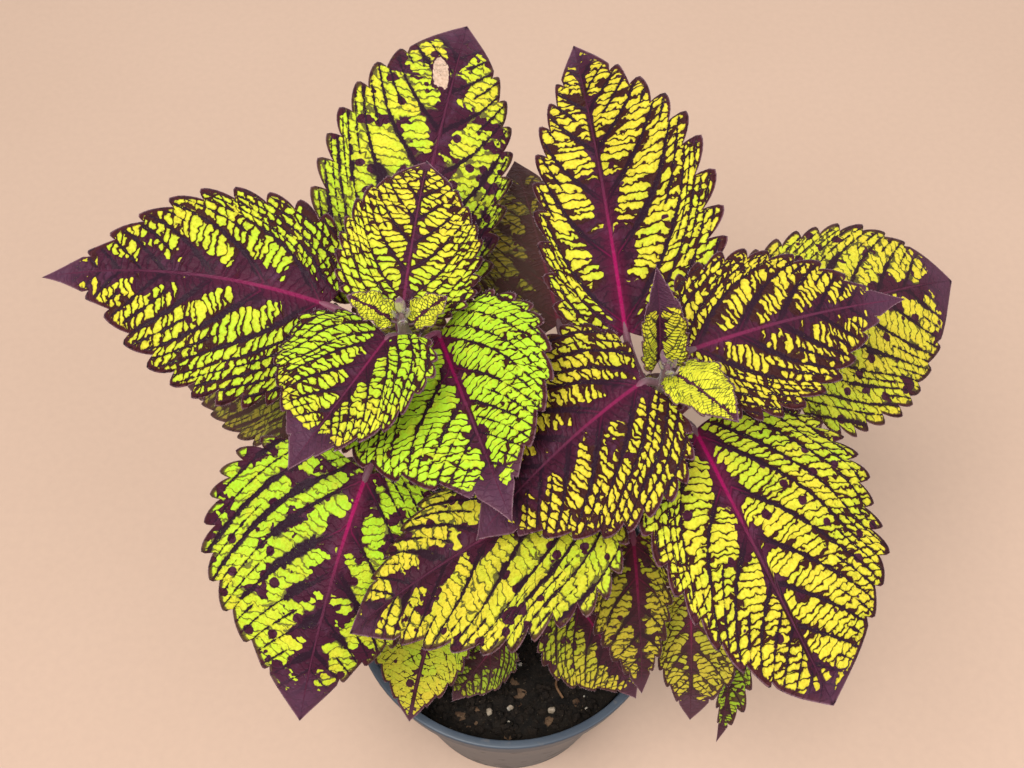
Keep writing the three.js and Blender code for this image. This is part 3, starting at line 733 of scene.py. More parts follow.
class Shading:
    """A material, and short names for the nodes that it is made of."""

    def __init__(self, name, **shader):
        self.material = bpy.data.materials.new(name)
        self.material.use_nodes = True
        self.tree = self.material.node_tree
        self.tree.nodes.clear()
        self.shader = self.add("ShaderNodeBsdfPrincipled")
        for key, value in shader.items():
            self.shader.inputs[key.replace("_", " ").title().replace("Ior", "IOR")].default_value = value
        output = self.add("ShaderNodeOutputMaterial")
        self.tree.links.new(self.shader.outputs[0], output.inputs[0])

    def add(self, kind, **settings):
        node = self.tree.nodes.new(kind)
        for key, value in settings.items():
            setattr(node, key, value)
        return node

    def feed(self, node, **inputs):
        """Gives inputs, named or numbered as _0, a value or another node's output."""
        for key, value in inputs.items():
            socket = node.inputs[int(key[1:])] if key[0] == "_" else node.inputs[key]
            if isinstance(value, Field):
                self.tree.links.new(value.socket, socket)
            else:
                socket.default_value = value
        return node

    def out(self, node, output=0):
        return Field(self, node.outputs[output])

    def math(self, operation, *values):
        node = self.add("ShaderNodeMath", operation=operation)
        return self.out(self.feed(node, **{f"_{i}": value for i, value in enumerate(values)}))

    def step(self, value, low, high):
        """0 below low, 1 above high and smooth between: or the other way round if low is above high."""
        node = self.add("ShaderNodeMapRange", interpolation_type="SMOOTHSTEP")
        return self.out(self.feed(node, _0=value, _1=low, _2=high))

    def mix(self, factor, first, second):
        node = self.add("ShaderNodeMix", data_type="RGBA")
        first, second = (value if isinstance(value, Field) else (*value, 1.0) for value in (first, second))
        return self.out(self.feed(node, _0=factor, _6=first, _7=second), 2)

    def over(self, colour, *layers):
        """A colour with others laid over it, each by its own share."""
        for share, layer in layers:
            colour = self.mix(share, colour, layer)
        return colour

    def vector(self, x, y, z=0.0):
        return self.out(self.feed(self.add("ShaderNodeCombineXYZ"), _0=x, _1=y, _2=z))

    def parts(self, vector):
        """The three numbers of a place or a colour."""
        node = self.feed(self.add("ShaderNodeSeparateXYZ"), _0=vector)
        return [self.out(node, i) for i in range(3)]

    def read(self, name):
        """The three numbers of one of the mesh's own values."""
        return self.parts(self.out(self.add("ShaderNodeAttribute", attribute_name=name), "Vector"))

    def place(self):
        """The point's place, in metres."""
        return self.out(self.add("ShaderNodeTexCoord"), "Object")

    def noise(self, place, scale, detail=2.0, roughness=0.5):
        node = self.add("ShaderNodeTexNoise")
        return self.out(self.feed(node, Vector=place, Scale=scale, Detail=detail, Roughness=roughness))

    def cells(self, place, feature, randomness=1.0, output="Distance"):
        node = self.add("ShaderNodeTexVoronoi", feature=feature, voronoi_dimensions="2D")
        return self.out(self.feed(node, Vector=place, Scale=1.0, Randomness=randomness), output)

    def bump(self, height, depth, strength):
        """Relief of a height field whose 1 stands for a depth in metres."""
        node = self.feed(self.add("ShaderNodeBump"), Height=height, Distance=depth, Strength=strength)
        self.feed(self.shader, Normal=self.out(node))

    def finish(self, colour, roughness):
        self.feed(self.shader, Roughness=roughness, **{"Base Color": colour})
        return self.material


# Colours of a leaf's cells, of the dark net and zones round them, and of its underside.
YELLOW = (0.68, 0.555, 0.038)
GREEN = (0.36, 0.60, 0.022)
CREAM = (0.74, 0.68, 0.15)
YOUNG_GREEN = (0.54, 0.55, 0.028)
GOLD = (0.70, 0.47, 0.03)
# Painted shade on the bright cells: on their puckers and towards their edges.
CELL_SHADE = (0.36, 0.30, 0.02)
THREAD = (0.040, 0.011, 0.010)
FAINT_THREAD = (0.22, 0.23, 0.04)
AUBERGINE = (0.050, 0.010, 0.023)
# Painted sheen: a lighter, bluer purple laid in patches over the dark zones.
PAINTED_SHEEN_PURPLE = (0.086, 0.033, 0.064)
VEIN_PURPLE = (0.022, 0.008, 0.016)
RIM_PURPLE = (0.065, 0.014, 0.018)
# Painted sheen on the dark tips, with the paleness of their fine down.
TIP_SHEEN_AND_DOWN = (0.090, 0.034, 0.062)
# The pale down along the margin, with a painted highlight on it.
MARGIN_DOWN_AND_HIGHLIGHT = (0.30, 0.16, 0.19)
MAGENTA = (0.28, 0.005, 0.075)
MIDRIB_PURPLE = (0.095, 0.020, 0.045)
# Painted shade of the lower leaves.
SHADED_BROWN = (0.085, 0.045, 0.030)
DRY_TAN = (0.60, 0.42, 0.31)
DRY_BROWN = (0.45, 0.29, 0.20)
UNDER_PALE = (0.62, 0.63, 0.19)
UNDER_PURPLE = (0.26, 0.085, 0.125)
SHEEN_BLUE = (0.75, 0.72, 1.0, 1.0)

CELL_JITTER = 0.75  # how far the net's cells stray from an even row
CELL_SQUEEZE = 0.75  # how much of a cell's own width its row spans, so that no row splits in two
THREAD_SLANT = 0.75  # how far a thread runs outwards as it crosses from one side vein to the next
RIB_BAND = 4.0  # how much wider a side vein's dark line is in the strips that turn dark
FORK_RIM = (0.06, 0.16)  # how near the margin forks start, in parts of the width: least, and range
FORK_END = 0.12  # how far further in they have faded
FORK_WIDTH = 0.35  # half width of a fork, in parts of the leaf's rib
FINGER = 6.0  # how far the dark along the midrib reaches out along each side vein
SPOT_SPACING = 0.13  # spots' places per mm
SPOT_RADIUS = 0.2  # in parts of the room between those
SCAR_HALF_SIZE = (5.5, 2.6)
SCAR_SLANT = 0.4
LEAF_BUMP = 0.0011


def leaf_fields(m, leaf, number):
    """What the markings are drawn from: the mesh's own values, and noises on the blade laid flat, in mm."""
    at = SimpleNamespace(number=number)
    at.vein, at.out, at.under = m.read("veins")
    at.apart, at.from_midrib, at.rim = m.read("near")
    at.x, at.y, at.part = m.read("flat")
    place = m.vector(at.x, at.y, 17.0 * number)
    at.ragged = m.noise(place, 1.1, detail=3.0) - 0.5
    at.wander = m.noise(place, 0.45, detail=1.0) - 0.5
    at.uneven = m.noise(place, 0.2) - 0.5
    at.patchy = m.noise(place, 0.085, detail=3.0, roughness=0.6)
    at.side = m.math("SIGN", at.y)
    at.strip = m.math("FLOOR", at.vein)
    at.between = at.vein - at.strip
    at.from_vein = m.math("MINIMUM", at.between, 1 - at.between) * at.apart
    return at


def add_cells(m, leaf, at):
    """The net's cells, in rows that fill the room between two side veins: each one's own random number, and
    how far a point is from the threads round it, in thread widths."""
    shift = CELL_JITTER / 2 + 100 * at.number
    across = at.strip + (at.between - 0.5) * CELL_SQUEEZE + at.side * 40.0 + shift
    slanted = at.out + (at.between - 0.5) * at.apart * THREAD_SLANT
    along = slanted * (1 / leaf.cell) + at.ragged * 0.15 + at.wander * 1.2 + at.uneven * 0.8 + at.side * 50.3
    place = m.vector(across, along)
    at.chance = m.parts(m.cells(place, "F1", CELL_JITTER, "Color"))[0]
    thread = m.cells(place, "DISTANCE_TO_EDGE", CELL_JITTER) * leaf.cell
    thread = thread + at.ragged * (0.5 * leaf.small) + at.wander * (0.7 * leaf.small)
    at.in_threads = thread / ((at.patchy + 0.5) * leaf.net)


def add_ribs(m, leaf, at):
    """How far a point is from the dark lines along the side veins and their forks near the margin, in line
    widths. The lines taper outwards, and are wider in the strips that turn dark."""
    width = leaf.width
    band = m.noise(m.vector(at.vein * 0.9 + at.side * 9.0, at.out * 0.055, 3.1 * at.number), 1.0, detail=2.0)
    band_edge = 0.62 - 0.2 * leaf.blotch
    band = m.step(band, band_edge, band_edge + 0.08) * (RIB_BAND * leaf.blotch)
    taper = m.step(at.rim, 0.0, width * 0.42) * 0.5 + 0.35
    crowding = m.step(at.apart, 1.0, 9.0) * 0.8 + 0.2
    rib_width = (band + 0.6 + at.patchy * 0.8) * taper * crowding * leaf.rib
    ragged_edge = at.ragged * (1.0 * leaf.small) + at.wander * (1.2 * leaf.small)
    from_fork = m.math("ABSOLUTE", at.between - 0.5) * at.apart + ragged_edge
    luck = m.noise(m.vector(at.strip * 7.3, at.side * 5.9, 3.7 * at.number), 1.0, detail=0.0)
    fork_start = m.step(luck, 0.35, 0.65) * (FORK_RIM[1] * width) + FORK_RIM[0] * width
    too_far_in = m.step(at.rim - fork_start, 0.0, FORK_END * width) * 9.0
    in_forks = from_fork / (crowding * FORK_WIDTH * leaf.rib) + too_far_in
    at.in_ribs = m.math("MINIMUM", (at.from_vein + ragged_edge) / rib_width, in_forks)


def add_dark_zones(m, leaf, at):
    """Where the dark spreads cell by cell: round the midrib and out along side veins, in patches and at
    the tip."""
    reach = leaf.heart * m.step(at.part, leaf.reach + 0.3, leaf.reach - 0.3) + 0.4
    finger = (at.from_vein / at.apart * 2.0 - 0.5) * (min(FINGER, 1.5 * leaf.heart) * leaf.small)
    spread = at.from_midrib + finger + at.uneven * 6.0 * leaf.small + (at.chance - 0.5) * 4.0 * leaf.small
    core = m.step(spread / reach, 1.8, 0.7)
    patch_edge = 0.70 - 0.22 * leaf.blotch
    patches = m.step(at.patchy + (at.chance - 0.5) * 0.08, patch_edge, patch_edge + 0.05)
    at.tip_place = at.part + at.uneven * 0.12
    dark_tip = m.step(at.tip_place + (at.chance - 0.5) * 0.1, leaf.tip - 0.03, leaf.tip + 0.03)
    at.dark = m.math("MAXIMUM", m.math("MAXIMUM", core, patches * min(leaf.blotch * 4, 1)), dark_tip)


def add_spots(m, leaf, at):
    """A few round dark spots: 0 in them and 1 round them."""
    place = m.vector(at.x * SPOT_SPACING, at.y * SPOT_SPACING + 5.1 * at.number)
    size = m.parts(m.cells(place, "F1", output="Color"))[0]
    radius = m.step(size, leaf.spots, leaf.spots - 0.3) * SPOT_RADIUS
    ragged = m.cells(place, "F1") + at.ragged * 0.08 + at.wander * 0.14
    at.clear = m.step(ragged, radius - 0.02, radius + 0.02)


def pale_colour(m, leaf, at):
    """The cells' colour: greener towards the base, with cream and gold flecks, and painted shade on the
    puckers and towards each cell's edge.
    """
    lean = m.step(at.part, 0.75, 0.0) * 0.45 + (at.patchy - 0.5) * 1.1 + (leaf.green * 1.3 - 0.3)
    return m.over(
        m.mix(m.step(lean + (at.chance - 0.5) * 0.25, 0.0, 1.0), YELLOW, GREEN),
        (m.step(at.ragged, 0.0, 0.4) * 0.3, CREAM),
        (m.step(at.uneven + at.wander * 0.6, 0.0, 0.35) * 0.3, GOLD),
        # Painted shade where the blade puckers.
        (m.step(at.ragged, 0.02, -0.12) * 0.35, CELL_SHADE),
        (leaf.young * 0.8, YOUNG_GREEN),
        # Painted shade towards the edge of each cell, as if it bulged between its threads.
        (m.step(at.room - at.need, 1.3, 0.0) * 0.3, CELL_SHADE))


def deep_colour(m, leaf, at):
    """The colour of the net and of all that is dark, with patches of painted sheen and a blush of magenta
    round the midrib.
    """
    faint = min(max(1.4 * leaf.blotch - 0.25, 0) + leaf.young, 0.75)
    # Painted sheen: patches where the dark zones are lighter and bluer, as if glossed by light.
    bloom_and_sheen = m.step(at.uneven + at.ragged * 0.3, 0.0, 0.3) * 0.6
    blush = m.step(at.from_midrib, 4.5 * leaf.small, 0.0) * m.step(at.part, 0.6, 0.1)
    side_blush = m.step(at.from_vein, 0.45, 0.1) * m.step(at.from_midrib, 8.0, 2.0)
    side_blush = side_blush * m.step(at.part, 0.5, 0.2)
    plain = m.mix(bloom_and_sheen, AUBERGINE, PAINTED_SHEEN_PURPLE)
    return m.over(
        m.mix(faint, THREAD, FAINT_THREAD),
        (m.step(at.dark + at.ragged * 0.4 + (1 - at.clear), 0.05, 0.35), plain),
        (m.step(at.in_threads, 1.1, 0.4) * at.dark * 0.7, VEIN_PURPLE),
        (m.step(at.in_ribs, 1.2, 0.7), VEIN_PURPLE),
        (m.step(at.rim, 1.8, 0.3) * 0.8, RIM_PURPLE),
        # Painted sheen and the paleness of the fine down lighten the dark tip to a greyish purple.
        (m.step(at.tip_place, leaf.tip - 0.1, leaf.tip + 0.06) * 0.7, TIP_SHEEN_AND_DOWN),
        # A pale pink edge: partly the fine down along the margin, partly a painted highlight on it.
        (m.step(at.rim, 0.35, 0.1) * 0.5, MARGIN_DOWN_AND_HIGHLIGHT),
        (blush * (0.22 * leaf.glow), MAGENTA),
        (side_blush * (0.3 * leaf.glow), MAGENTA))


def add_midrib(m, leaf, at, top):
    """A slender midrib, magenta near the base and purple further out."""
    width = (0.95 - at.part * 0.75) * leaf.small
    tone = m.mix(m.step(at.part, 0.5, 0.15) * leaf.glow, MIDRIB_PURPLE, MAGENTA)
    return m.mix(m.step(at.from_midrib, width, width * 0.3) * m.step(at.part, 0.97, 0.85), top, tone)


def add_scar(m, leaf, at, top):
    """A ragged dry patch in a dark ring."""
    ahead = (at.x - leaf.scar[0]) * (1 / SCAR_HALF_SIZE[0])
    aside = (at.y - leaf.scar[1]) * (1 / SCAR_HALF_SIZE[1]) - ahead * SCAR_SLANT
    ahead, aside = (m.math("POWER", m.math("ABSOLUTE", each), 3.0) for each in (ahead, aside))
    scar = ahead + aside + at.ragged * 0.8 + at.wander * 1.6
    top = m.mix(m.step(scar, 2.0, 1.5), top, AUBERGINE)
    return m.mix(m.step(scar, 1.15, 0.9), top, m.mix(m.step(at.ragged, -0.2, 0.3), DRY_TAN, DRY_BROWN))


def leaf_material(name, leaf, number):
    """Yellow and green cells in a dark purple net that widens into patches, on a magenta midrib."""
    m = Shading(name + "_skin", specular_ior_level=0.07, sheen_weight=0.02, sheen_roughness=0.4,
                sheen_tint=SHEEN_BLUE)
    at = leaf_fields(m, leaf, number)
    add_cells(m, leaf, at)
    add_ribs(m, leaf, at)
    add_dark_zones(m, leaf, at)
    add_spots(m, leaf, at)

    # A point is bright where it is further inside its cell than the dark there needs.
    at.room = at.in_threads * at.in_ribs / (at.in_threads + at.in_ribs)
    at.need = at.dark * 3.6 + at.chance * 0.35 + 0.6
    inside = m.step(at.room, at.need - 0.12, at.need + 0.12)
    off_margin = m.step(at.rim + at.ragged * 0.9 * leaf.small, 0.9 * leaf.small, 1.3 * leaf.small)
    off_midrib = m.step(at.from_midrib, 0.9 * leaf.small, 1.4 * leaf.small)
    bright = inside * off_margin * at.clear * off_midrib

    top = m.mix(bright, deep_colour(m, leaf, at), pale_colour(m, leaf, at))
    top = add_midrib(m, leaf, at, top)
    if leaf.scar:
        top = add_scar(m, leaf, at, top)
    # Painted shade: leaves low in the plant, under the others, are dulled towards brown.
    top = m.mix(leaf.shade, top, SHADED_BROWN)
    bottom = m.mix(bright * 0.85, UNDER_PURPLE, UNDER_PALE)
    bottom = m.mix(m.step(at.from_vein, 0.7, 0.2) * 0.6, bottom, MIDRIB_PURPLE)
    m.bump(m.step(at.room, 0.0, 1.6) * (0.8 - at.dark * 0.6) + at.ragged * 0.25, LEAF_BUMP, 0.7)
    return m.finish(m.mix(at.under, top, bottom), 0.44 + at.ragged * 0.12 + bright * 0.08)


# The other materials' colours.
STALK_MAGENTA = (0.20, 0.022, 0.075)
STALK_BROWN = (0.10, 0.05, 0.055)
STALK_BLOOM = (0.35, 0.20, 0.24)
STEM_PURPLE = (0.13, 0.035, 0.055)
STEM_OLIVE = (0.17, 0.12, 0.05)
YOUNG_STEM_OLIVE = (0.11, 0.07, 0.04)
YOUNG_STEM_PURPLE = (0.09, 0.022, 0.045)
STEM_BLOOM = (0.38, 0.28, 0.26)
BUD_GREEN = (0.30, 0.30, 0.07)
BUD_PURPLE = (0.14, 0.05, 0.09)
BUD_BLOOM = (0.45, 0.36, 0.40)
HAIR_PURPLE = (0.30, 0.19, 0.24)
HAIR_PALE = (0.58, 0.46, 0.50)
SLATE = (0.040, 0.054, 0.075)
SLATE_PALE = (0.058, 0.076, 0.100)
SCUFF_GREY = (0.13, 0.15, 0.18)
SPLASH_BROWN = (0.17, 0.145, 0.12)
SPECK_TAN = (0.30, 0.22, 0.13)
FLOOR_DARK = (0.54, 0.375, 0.28)
FLOOR_PALE = (0.59, 0.415, 0.315)
FLOOR_FLECK = (0.45, 0.32, 0.24)

FINE_BUMP = 0.0002
POT_BUMP = 0.0001
SOIL_BUMP_DEPTH = 0.0012


def flushed(m, place, scale, low, high, first, second):
    """One colour clouded with another."""
    return m.mix(m.step(m.noise(place, scale, detail=3.0), low, high), first, second)


def downy(m, place, tone, bloom_and_sheen, scale, share, roughness, strength):
    """Finishes a material with a share of pale bloom and with relief, both from one fine noise."""
    fine = m.noise(place, scale)
    m.bump(fine, FINE_BUMP, strength)
    return m.finish(m.mix(fine * share, tone, bloom_and_sheen), roughness + fine * 0.2)


def stalk_material():
    """Magenta clouded with brown, under a pale bloom."""
    m = Shading("stalk_skin", specular_ior_level=0.35, sheen_weight=0.25, sheen_roughness=0.4)
    place = m.place()
    tone = flushed(m, place, 45.0, 0.35, 0.65, STALK_MAGENTA, STALK_BROWN)
    return downy(m, place, tone, STALK_BLOOM, 900.0, 0.25, 0.45, 0.5)


def stem_material():
    """Purple and olive, darker in the young parts near the tips."""
    m = Shading("stem_skin", specular_ior_level=0.35, sheen_weight=0.3, sheen_roughness=0.4)
    place = m.place()
    old = flushed(m, place, 60.0, 0.35, 0.6, STEM_PURPLE, STEM_OLIVE)
    young = flushed(m, place, 60.0, 0.4, 0.6, YOUNG_STEM_OLIVE, YOUNG_STEM_PURPLE)
    tone = m.mix(m.step(m.parts(place)[2], 0.15, 0.24), old, young)
    return downy(m, place, tone, STEM_BLOOM, 1100.0, 0.3, 0.5, 0.6)


def bud_material():
    """Pale green flushed with purple."""
    m = Shading("bud_skin", specular_ior_level=0.25, sheen_weight=0.3, sheen_roughness=0.4)
    place = m.place()
    tone = flushed(m, place, 500.0, 0.4, 0.6, BUD_GREEN, BUD_PURPLE)
    return downy(m, place, tone, BUD_BLOOM, 2500.0, 0.25, 0.5, 0.5)


def down_material():
    """Fine pale hairs."""
    m = Shading("down", specular_ior_level=0.5)
    tone = m.noise(m.place(), 300.0)
    return m.finish(m.mix(tone, HAIR_PURPLE, HAIR_PALE), 0.4 + tone * 0.1)


def pot_material():
    """Slate grey polypropylene: satin, with faint scuffs, turning rings and dried splashes."""
    m = Shading("slate_plastic", specular_ior_level=0.45)
    place = m.place()
    cloud = m.noise(place, 35.0, detail=4.0)
    grain = m.noise(place, 1400.0)
    flattened = m.out(m.feed(m.add("ShaderNodeMapping"), _0=place, _3=(60.0, 60.0, 900.0)))
    rings = m.noise(flattened, 1.0, detail=3.0)
    tone = m.mix(m.step(cloud, 0.3, 0.7), SLATE, SLATE_PALE)
    tone = m.mix(m.step(rings, 0.62, 0.75) * 0.35, tone, SCUFF_GREY)
    near_base = m.step(m.parts(place)[2], 0.03, 0.0)
    splashes = m.step(m.noise(place, 160.0, detail=4.0) + near_base * 0.12, 0.6, 0.72)
    tone = m.mix(splashes * 0.4, tone, SPLASH_BROWN)
    m.bump(grain * 0.5 + rings * 0.5, POT_BUMP, 0.5)
    return m.finish(tone, 0.36 + cloud * 0.14 + splashes * 0.25)


# The soil, and the coarser things in it: their dark and pale tones, and how much the specks on them show.
SOIL_TONES = {
    "damp_soil": ((0.004, 0.003, 0.0022), (0.013, 0.009, 0.006), 0.3),
    "soil_crumb": ((0.005, 0.0035, 0.0026), (0.018, 0.012, 0.008), 0.3),
    "perlite_grain": ((0.34, 0.30, 0.24), (0.58, 0.53, 0.45), 0.2),
    "bark_chip": ((0.04, 0.020, 0.011), (0.15, 0.09, 0.05), 0.5),
    "dry_twig": ((0.10, 0.045, 0.02), (0.22, 0.12, 0.06), 0.5),
    "coarse_lump": ((0.20, 0.15, 0.10), (0.45, 0.37, 0.28), 0.3),
}


def soil_material(name):
    """Damp potting mix, or one of the coarser things in it."""
    dark, pale, share = SOIL_TONES[name]
    m = Shading(name, specular_ior_level=0.18)
    place = m.place()
    clump = m.noise(place, 240.0, detail=4.0, roughness=0.65)
    grain = m.noise(place, 1300.0, detail=3.0)
    tone = m.mix(m.step(clump, 0.3, 0.7), dark, pale)
    tone = m.mix(m.step(grain, 0.66, 0.74) * share, tone, SPECK_TAN)
    m.bump(clump * 0.6 + grain * 0.4, SOIL_BUMP_DEPTH, 0.9)
    return m.finish(tone, 0.95 - grain * 0.25)


def floor_material():
    m = Shading("pale_floor", specular_ior_level=0.2)
    place = m.place()
    tone = m.mix(m.noise(place, 6.0), FLOOR_DARK, FLOOR_PALE)
    tone = m.mix(m.noise(place, 260.0) * 0.35, tone, FLOOR_FLECK)
    return m.finish(tone, 0.8 + m.noise(place, 90.0) * 0.1)


# ---- Down ----


HAIR_RADIUS = 0.035
MARGIN_HAIR_LENGTHS = (0.35, 0.9)
STEM_HAIR_LENGTHS = (0.5, 1.1)
# Hairs per mm of margin, stalk, shoot and bud leaflet.
MARGIN_HAIRS = 1.6
STALK_HAIRS = 3
SHOOT_HAIRS = 4
BUD_HAIRS = 14


def add_hairs(form, roots, ways, lengths):
    """Slender closed hairs with three sides."""
    ways = unit(ways)
    side = unit(np.cross(ways, RIGHT + 0.3 * UP))
    other = np.cross(ways, side)
    turns = np.radians([0, 120, 240])
    base = [roots + HAIR_RADIUS * (side * math.cos(a) + other * math.sin(a)) for a in turns]
    points = np.stack([*base, roots + ways * lengths[:, None]], 1)
    faces = []
    for i in range(0, 4 * len(roots), 4):
        faces += [(i, i + 1, i + 3), (i + 1, i + 2, i + 3), (i + 2, i, i + 3), (i + 2, i + 1, i)]
    form.add(points, faces)


def down_on_margin(form, line, rng):
    """Hairs along a margin, pointing out and forward."""
    steps = np.linalg.norm(np.diff(line, axis=0), axis=1)
    run = np.concatenate([[0], np.cumsum(steps)])
    at = np.sort(rng.uniform(0, run[-1], int(run[-1] * MARGIN_HAIRS)))
    roots = np.stack([np.interp(at, run, line[:, i]) for i in range(3)], -1)
    ahead = np.stack([np.interp(at + 0.6, run, line[:, i]) for i in range(3)], -1)
    out = unit(roots - line.mean(0))
    ways = unit(ahead - roots + 1e-6) * 0.5 + out * 0.7 + rng.normal(0, 0.3, roots.shape)
    add_hairs(form, roots, ways, rng.uniform(*MARGIN_HAIR_LENGTHS, len(roots)))


def down_on_tube(form, centres, radii, density, rng):
    """Hairs that stand out from a stalk or shoot."""
    for start, end, radius in zip(centres, centres[1:], radii):
        count = int(np.linalg.norm(end - start) * density)
        along = unit(end - start)
        t = rng.uniform(0, 1, (count, 1))
        out = rng.normal(0, 1, (count, 3))
        out = unit(out - along * (out @ along)[:, None])
        roots = start + (end - start) * t + out * radius * 0.93
        ways = out + rng.normal(0, 0.25, out.shape)
        add_hairs(form, roots, ways, rng.uniform(*STEM_HAIR_LENGTHS, count))


# ---- Pot and soil ----

# Heights and radii that follow from the driving sizes, and finer sizes.
BODY_TOP = POT_HEIGHT - POT_COLLAR
COLLAR_RADIUS = POT_RIM_RADIUS - POT_LIP
BODY_TOP_RADIUS = COLLAR_RADIUS - POT_COLLAR_STEP
POT_ROUNDING = 0.8
POT_SIDES = 96
DRAIN_SIDES = 24
DRAIN_CUT = (-3, 6)  # the heights between which a drain hole is cut
SOIL_SIDES = 144
SOIL_RINGS = 48
# The soil's finer lumps: radians per mm, and depth.
SOIL_WAVES = ((0.55, 0.5), (1.1, 0.4), (2.3, 0.3))
SOIL_GRAIN = 0.35


def pot_inside(height):
    """Inside radius of the pot at a height."""
    body = POT_BASE_RADIUS + (BODY_TOP_RADIUS - POT_BASE_RADIUS) * height / BODY_TOP
    return (COLLAR_RADIUS if height > BODY_TOP else body) - POT_WALL


def around(radius, turn, height):
    """Points round the axis of the pot, at radii, turns and heights."""
    places = np.broadcast_arrays(radius * np.cos(turn), radius * np.sin(turn), height)
    return np.stack(places, -1)


def rounded(profile, radius, steps=4):
    """Profile of [radius, height] points with its corners rounded."""
    profile = np.asarray(profile, float)
    result = []
    for i, corner in enumerate(profile):
        before, after = profile[i - 1], profile[(i + 1) % len(profile)]
        if corner[0] == 0:
            result.append(corner)
            continue
        cut = [min(radius, np.linalg.norm(end - corner) * 0.45) for end in (before, after)]
        start = corner + (before - corner) / np.linalg.norm(before - corner) * cut[0]
        end = corner + (after - corner) / np.linalg.norm(after - corner) * cut[1]
        for t in np.linspace(0, 1, steps):
            result.append((1 - t) ** 2 * start + 2 * t * (1 - t) * corner + t * t * end)
    return np.array(result)


def turned(profile, sides):
    """Points and faces of a solid turned from a profile that starts and ends on the axis."""
    rings = profile[1:-1]
    points = around(rings[:, :1], full_turn(sides), rings[:, 1:]).reshape(-1, 3)
    bottom, top = len(points), len(points) + 1
    points = np.concatenate([points, [[0, 0, profile[0][1]], [0, 0, profile[-1][1]]]])
    faces = wall_faces(len(rings), sides)
    last = (len(rings) - 1) * sides
    for i in range(sides):
        j = (i + 1) % sides
        faces += [(bottom, j, i), (last + i, last + j, top)]
    return points, faces


def make_pot():
    lip_bottom = POT_HEIGHT - POT_LIP_HEIGHT
    collar_inside = COLLAR_RADIUS - POT_WALL
    outside = [
        (0, 0), (POT_BASE_RADIUS, 0), (BODY_TOP_RADIUS, BODY_TOP),
        (COLLAR_RADIUS, BODY_TOP + POT_COLLAR_STEP / 2), (COLLAR_RADIUS, lip_bottom),
        (POT_RIM_RADIUS, lip_bottom), (POT_RIM_RADIUS, POT_HEIGHT)]
    inside = [
        (collar_inside, POT_HEIGHT), (collar_inside, BODY_TOP + POT_WALL), (pot_inside(BODY_TOP), BODY_TOP),
        (pot_inside(POT_FLOOR), POT_FLOOR), (0, POT_FLOOR)]
    form = Form()
    form.add(*turned(rounded(outside + inside, POT_ROUNDING), POT_SIDES))
    pot = form.build("nursery_pot", [pot_material()], replaces="pot")
    for hole in range(DRAIN_HOLES):
        turn = 2 * math.pi * (hole + 0.5) / DRAIN_HOLES
        drain = Form()
        drain.add_tube(around(DRAIN_CIRCLE, turn, DRAIN_CUT), DRAIN_RADIUS, circle(DRAIN_SIDES))
        cutter = drain.build(f"drain_{hole}", [])
        cut = pot.modifiers.new("drain", "BOOLEAN")
        cut.object, cut.solver = cutter, "EXACT"
        keep_modifiers(pot)
        bpy.data.objects.remove(cutter)
    smooth_by_angle(pot, 40)


def keep_modifiers(piece):
    """Puts what the modifiers make into the mesh itself."""
    made = piece.evaluated_get(bpy.context.evaluated_depsgraph_get())
    mesh = bpy.data.meshes.new_from_object(made)
    piece.modifiers.clear()
    piece.data = mesh


def smooth_by_angle(piece, degrees):
    """Smooth faces, with the edges that turn more sharply than that kept crisp."""
    piece.data.polygons.foreach_set("use_smooth", [True] * len(piece.data.polygons))
    piece.data.set_sharp_from_angle(angle=math.radians(degrees))


def soil_height(radius, turn):
    x, y = radius * np.cos(turn), radius * np.sin(turn)
    lumps = np.sin(x * 0.19 + 1) * np.cos(y * 0.23) + 0.6 * np.sin(x * 0.41 - y * 0.37)
    edge = (radius / pot_inside(SOIL_LEVEL)) ** 4
    return SOIL_LEVEL + SOIL_BUMP * lumps * (1 - edge) - SOIL_EDGE_DIP * edge


def make_soil():
    """The soil's body, with a lumpy surface that a fine noise roughens."""
    rng = np.random.default_rng(7)
    edge = pot_inside(BODY_TOP) - GAP
    angle = full_turn(SOIL_SIDES)
    radius = np.linspace(edge, edge / SOIL_RINGS, SOIL_RINGS)[:, None]
    x, y = radius * np.cos(angle), radius * np.sin(angle)
    height = soil_height(radius, angle)
    for scale, depth in SOIL_WAVES:
        phases = rng.uniform(0, 6.28, 4)
        wave = np.sin(scale * x + phases[0] + np.sin(scale * y * 0.8 + phases[1]))
        cross_wave = np.cos(scale * y * 0.9 + phases[2] + np.sin(scale * x * 0.7 + phases[3]))
        height = height + depth * wave * cross_wave
    height = height + rng.uniform(-SOIL_GRAIN, SOIL_GRAIN, height.shape)
    walls = [around(pot_inside(level) - GAP, angle, level) for level in (POT_FLOOR + GAP, BODY_TOP - GAP)]
    points = np.concatenate([walls, around(radius, angle, height)]).reshape(-1, 3)
    form = Form()
    form.add(points, tube_faces(len(walls) + SOIL_RINGS, SOIL_SIDES))
    form.build("potting_soil", [soil_material("damp_soil")], replaces="soil")


def lump(rng, size, squash):
    """A small uneven lump: an icosahedron with its corners moved about."""
    g = (1 + 5 ** 0.5) / 2
    points = np.array([(-1, g, 0), (1, g, 0), (-1, -g, 0), (1, -g, 0), (0, -1, g), (0, 1, g), (0, -1, -g),
                       (0, 1, -g), (g, 0, -1), (g, 0, 1), (-g, 0, -1), (-g, 0, 1)]) / g
    points = points * rng.uniform(0.6, 1.25, (12, 1)) * rng.uniform(0.7, 1.3, 3) * size
    turn = np.linalg.qr(rng.normal(0, 1, (3, 3)))[0]
    turn = turn * np.sign(np.linalg.det(turn))
    return points @ turn * np.array([1, 1, squash])


